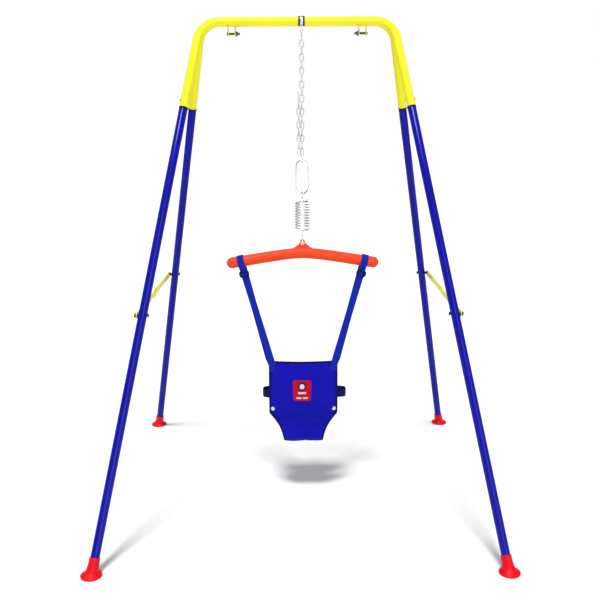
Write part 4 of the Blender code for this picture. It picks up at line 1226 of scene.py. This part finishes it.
def make_straps(skin):
    """Each strap with its doubled end under the loop, its stitched ends and its adjuster."""
    section = ribbon(STRAP_WIDTH, STRAP_THICKNESS)
    for side, sign in SIDES:
        front, loop, back = strap_path(sign)
        lean = Vector((math.cos(STRAP_LEAN), 0, -sign * math.sin(STRAP_LEAN)))
        centre = HANG + Vector((sign * STRAP_BAR_X, 0, spreader_z(STRAP_BAR_X)))
        run_up = [front.lerp(loop[0], step / 10) for step in range(1, 10)]
        run_down = [loop[-1].lerp(back, step / 10) for step in range(1, 10)]
        tails = []
        x = sign * (SEAT_HALF_WIDTH - STRAP_WIDTH / 2 - 0.0016)
        for anchor, way in ((front, -1), (back, 1)):
            ends = []
            for shift, down in ((0.0, 0.002), (-0.0012 * sign, 0.019)):
                outside = HANG + Vector((x + shift, way * 0.075, anchor.z - down))
                ends.append(skin_point(skin, outside, Vector((0, way, 0)), STRAP_THICKNESS / 2 + 0.0003))
            tails.append([ends[0].lerp(ends[1], step / 3) for step in range(4)])
        path = tails[0][::-1] + run_up + loop + run_down + tails[1]
        flat = Vector((1, 0, -sign * 0.10)).normalized()
        normals = []
        for index in range(len(path)):
            on_tail = min(index, len(path) - 1 - index)
            across = flat.lerp(lean, min(1.0, max(0.0, (on_tail - 1) / 4)))
            normals.append(across.cross(way_at(path, index)).normalized())
        shape = swept(path, section, normals)
        down = (front - loop[0]).normalized()
        outward = normals[7]
        if outward.y > 0:
            outward = -outward
        double = [loop[0] + down * d - outward * DOUBLED_IN for d in (0.050, 0.036, 0.022, 0.010)]
        double += [point + (centre - point).normalized() * DOUBLED_IN for point in loop[:13]]
        level = [lean.cross(way_at(double, index)).normalized() for index in range(len(double))]
        shape = joined(shape, swept(double, ribbon(STRAP_WIDTH - 0.001, 0.0012), level))
        name = f"shoulder_strap_{side}"
        stand_in(name, shape, STRAP, "seat")
        make_strap_ends(side, tails, flat)
        make_glide(side, loop[0] + down * GLIDE_DOWN, down, lean)


def make_strap_ends(side, tails, across):
    """Box stitching where each end of the strap is sewn to a panel."""
    half = STRAP_WIDTH / 2 - 0.0028
    box = []
    for tail, way in zip(tails, (-1, 1)):
        outward = Vector((0, way, 0))
        lift = outward * (STRAP_THICKNESS / 2 - 0.0001)
        high, low = tail[0].lerp(tail[1], 0.5) + lift, tail[3].lerp(tail[2], 0.3) + lift
        side_way = half * across
        corners = [high - side_way, high + side_way, low + side_way, low - side_way]
        for first, second in ((0, 1), (1, 2), (2, 3), (3, 0), (0, 2), (1, 3)):
            line = [corners[first], corners[second]]
            box += stitches(line, [outward] * 2, 0.0030, 0.0021, 0.00034)
    shape = joined(*box)
    add(f"strap_stitches_{side}", shape, THREAD, "seat")


def make_glide(side, spot, down, across):
    """A moulded adjuster: an oval frame in front of the strap and a bar behind it."""
    across = (across - across.dot(down) * down).normalized()
    outward = across.cross(down).normalized()
    if outward.y >= 0:
        outward = down.cross(across).normalized()
    half_width, half_height = 0.0114, 0.0079
    path, levels = [], []
    for step in range(48):
        angle = 2 * math.pi * step / 48
        c, s = math.cos(angle), math.sin(angle)
        x = half_width * math.copysign(abs(c) ** 0.62, c)
        y = half_height * math.copysign(abs(s) ** 0.62, s)
        path.append(spot + across * x - down * y + outward * 0.0024)
        levels.append(outward)
    shapes = [swept(path, oval(0.0026, 0.0013, 16), levels, closed=True)]
    low = spot - outward * 0.0028
    for sign in (-1, 1):
        base = spot + across * sign * 0.0122
        post = [base + outward * d for d in (0.0025, 0.0007, -0.0011, -0.0029)]
        shapes.append(swept(post, oval(0.0015, 0.0024, 14), [down] * len(post)))
    bar = [low + across * x for x in (-0.0124, -0.0118, -0.006, 0, 0.006, 0.0118, 0.0124)]
    scales = [0.5, 1, 1, 1, 1, 1, 0.5]
    shapes.append(swept(bar, oval(0.0026, 0.0006, 14), [outward] * len(bar), scales=scales))
    shape = joined(*shapes)
    name = f"strap_glide_{side}"
    stand_in(name, shape, NAVY_PLASTIC, f"glide_{side}")


def make_bands():
    """The waist bands, bowed out at the sides between the inner faces of the two panels."""
    inset = -(PANEL_THICKNESS + BAND_THICKNESS) / 2 - 0.0030
    middle_z = (BAND_LOW_Z + BAND_HIGH_Z) / 2
    height = BAND_HIGH_Z - BAND_LOW_Z
    for side, sign in SIDES:
        end_x = sign * BAND_END_X
        front = panel_surface(end_x, middle_z, SEAT_TOP_Z, -1, inset).y
        back = panel_surface(end_x, middle_z - BAND_DROP, SEAT_BACK_TOP_Z, 1, inset).y
        bulge = BAND_BULGE[side]
        plan = [(BAND_END_X, front), (SEAT_HALF_WIDTH + 0.001, front + 0.0060)]
        plan += [(bulge - 0.005, front + 0.015), (bulge - 0.0005, front + 0.028)]
        plan += [(bulge, (front + back) / 2)]
        plan += [(bulge - 0.0005, back - 0.028), (bulge - 0.005, back - 0.015)]
        plan += [(SEAT_HALF_WIDTH + 0.001, back - 0.0060), (BAND_END_X, back)]
        slope = BAND_DROP / (back - front)
        path = [Vector((HANG_X + sign * x, y, middle_z - slope * (y - front))) for x, y in plan]
        path = eased(path)
        up = Vector((0, 0, 1))
        normals = [up.cross(way_at(path, index)).normalized() for index in range(len(path))]
        shape = swept(path, ribbon(height, BAND_THICKNESS), normals)
        name = f"waist_band_{side}"
        stand_in(name, shape, NAVY, "seat")


def make_snaps(skin):
    """Ring snaps: a domed rim round a sunk middle."""
    for side, sign in SIDES:
        spot = front_point(skin, sign * SNAP_X, SNAP_Z, -0.0003)
        place = Matrix.Translation(spot) @ Matrix.Rotation(math.pi / 2, 4, "X")
        profile = [(0, 0.0006), (0.0020, 0.0007), (0.0026, 0.0013), (0.0034, 0.0023)]
        profile += [(0.0042, 0.0024), (0.0050, 0.0018), (0.0055, 0.0007), (0.0055, 0), (0, 0)]
        shape = lathe(profile, place, 36)
        name = f"snap_{side}"
        stand_in(name, shape, SNAP, "seat")


def surface_sheet(skin, outline_rows, offset, thickness):
    """A thin closed sheet laid on the front panel, through rows of (x, z)."""
    front = [[front_point(skin, x, z, offset + thickness) for x, z in row] for row in outline_rows]
    back = [[front_point(skin, x, z, offset) for x, z in row] for row in outline_rows]
    verts = [point for row in front + back for point in row]
    uvs = [(x, z) for row in outline_rows for x, z in row] * 2
    return verts, shell_faces(len(front), len(front[0])), uvs


def disc_rows(centre, radius_x, radius_z, rows=9, columns=9):
    """A square grid pressed into an ellipse."""
    out = []
    for i in range(rows):
        v = 1 - 2 * i / (rows - 1)
        line = []
        for j in range(columns):
            u = 2 * j / (columns - 1) - 1
            x = u * math.sqrt(1 - v * v / 2)
            z = v * math.sqrt(1 - u * u / 2)
            line.append((centre[0] + radius_x * x, centre[1] + radius_z * z))
        out.append(line)
    return out


def box_rows(centre, width, height, corner, taper=0.0, rows=9, columns=9):
    """A grid filling a rounded box that may narrow towards its foot."""
    out = []
    across = [2 * column / (columns - 1) - 1 for column in range(columns)]
    for i in range(rows):
        v = 0.5 * math.cos(math.pi * i / (rows - 1))
        into = max(0.0, corner - (0.5 - abs(v)) * height)
        half = width / 2 * (1 - taper * (0.5 - v)) - corner + math.sqrt(corner**2 - into**2)
        out.append([(centre[0] + half * u, centre[1] + height * v) for u in across])
    return out


def make_patch(skin):
    """A sewn cloth patch with a plain printed disc over three bars."""
    x, z = PATCH_X, PATCH_Z
    rows = box_rows((x, z), PATCH_WIDTH, PATCH_HEIGHT, 0.0060, PATCH_TAPER, 21, 17)
    patch = surface_sheet(skin, rows, PATCH_LIFT, PATCH_THICKNESS)
    item = stand_in("seat_patch", patch, PATCH, "seat")
    rows = disc_rows((x, z + 0.0125), 0.0115, 0.0125)
    dark = surface_sheet(skin, rows, PRINT_LIFT, PRINT_THICKNESS)
    add("seat_patch_ring", dark, NAVY_PRINT, "seat")
    rows = disc_rows((x, z + 0.0120), 0.0070, 0.0075)
    shapes = [surface_sheet(skin, rows, PRINT_LIFT + PRINT_THICKNESS, PRINT_THICKNESS)]
    for shift, drop, width, height in (
        (0, -0.0065, 0.0230, 0.0060),
        (-0.0092, -0.0215, 0.0150, 0.0050),
        (0.0092, -0.0215, 0.0150, 0.0050),
    ):
        rows = box_rows((x + shift, z + drop), width, height, 0.0016)
        shapes.append(surface_sheet(skin, rows, PRINT_LIFT, PRINT_THICKNESS))
    add("seat_patch_print", joined(*shapes), PRINT, "seat")
    rows = box_rows((x, z), 0.0485, 0.0555, 0.0045, PATCH_TAPER, 25, 2)
    outline = [row[0] for row in rows] + [row[1] for row in reversed(rows)]
    line = [front_point(skin, px, pz, PRINT_LIFT) for px, pz in outline + outline[:1]]
    threads = stitches(line, [Vector((0, -1, 0))] * len(line), 0.0030, 0.0021, 0.00032)
    add("seat_patch_stitches", joined(*threads), RED_THREAD, "seat")


# Stage

FLOOR_HALF = 40.0
FLOOR_Z = -0.0004
ROOM_GLOW = 0.36
# Each sun's name, the direction it shines from, its strength and its width in degrees
SUNS = (
    ("key", (-0.10, -0.38, 1.0), 3.0, 13),
    ("fill", (0.35, -1.0, 0.30), 1.0, 35),
)
# The camera's place, lens and angles, fitted to the photo
CAMERA_PLACE = (-0.004, -2.2815, 1.0626)
CAMERA_LENS = 49.385
CAMERA_SENSOR = 36.0
CAMERA_HEADING = -0.0034
CAMERA_DOWN = 0.2159
CAMERA_ROLL = -0.0055


def make_floor():
    """A wide white floor, a hair under the feet."""
    size = FLOOR_HALF
    corners = [(-size, -size, 0), (size, -size, 0), (size, size, 0), (-size, size, 0)]
    mesh = bpy.data.meshes.new("floor")
    mesh.from_pydata(corners, [], [(0, 1, 2, 3)])
    paper = Shader("floor_paper", (0.90, 0.90, 0.90), 0.9)
    paper.mottle(3.0, (0.90, 0.90, 0.90), (0.885, 0.885, 0.89))
    paper.gloss(0.05)
    mesh.materials.append(paper.material)
    floor = new_object("floor", mesh)
    floor.location.z = FLOOR_Z


def make_lights():
    """A room that is seen white but lights softly, a broad key from above and a fill from the front."""
    world = bpy.data.worlds.new("studio")
    world.use_nodes = True
    tree = world.node_tree
    soft = tree.nodes["Background"]
    seen = tree.nodes.new("ShaderNodeBackground")
    for background, strength in ((soft, ROOM_GLOW), (seen, 1.0)):
        background.inputs["Color"].default_value = (1, 1, 1, 1)
        background.inputs["Strength"].default_value = strength
    path = tree.nodes.new("ShaderNodeLightPath")
    blend = tree.nodes.new("ShaderNodeMixShader")
    tree.links.new(path.outputs["Is Camera Ray"], blend.inputs[0])
    tree.links.new(soft.outputs[0], blend.inputs[1])
    tree.links.new(seen.outputs[0], blend.inputs[2])
    tree.links.new(blend.outputs[0], tree.nodes["World Output"].inputs["Surface"])
    SCENE.world = world
    for name, source, strength, angle in SUNS:
        data = bpy.data.lights.new(name, "SUN")
        data.energy = strength
        data.angle = math.radians(angle)
        lamp = new_object(name, data)
        lamp.rotation_euler = Vector(source).to_track_quat("Z", "Y").to_euler()
    SCENE.view_settings.view_transform = "Standard"
    SCENE.view_settings.look = "None"


def make_camera():
    data = bpy.data.cameras.new("camera")
    data.sensor_width = CAMERA_SENSOR
    data.lens = CAMERA_LENS
    data.clip_end = 100.0
    camera = new_object("camera", data)
    turn = Matrix.Rotation(CAMERA_HEADING, 4, "Z")
    turn = turn @ Matrix.Rotation(math.pi / 2 - CAMERA_DOWN, 4, "X")
    roll = Matrix.Rotation(CAMERA_ROLL, 4, "Z")
    camera.matrix_world = Matrix.Translation(CAMERA_PLACE) @ turn @ roll
    SCENE.camera = camera


make_camera()
make_floor()
make_lights()
make_frames()
make_hanger()
make_links()
make_carabiner()
make_spring()
make_spreader()
sling_skin = make_sling()
make_straps(sling_skin)
make_bands()
make_snaps(sling_skin)
make_patch(sling_skin)

bpy.context.view_layer.update()
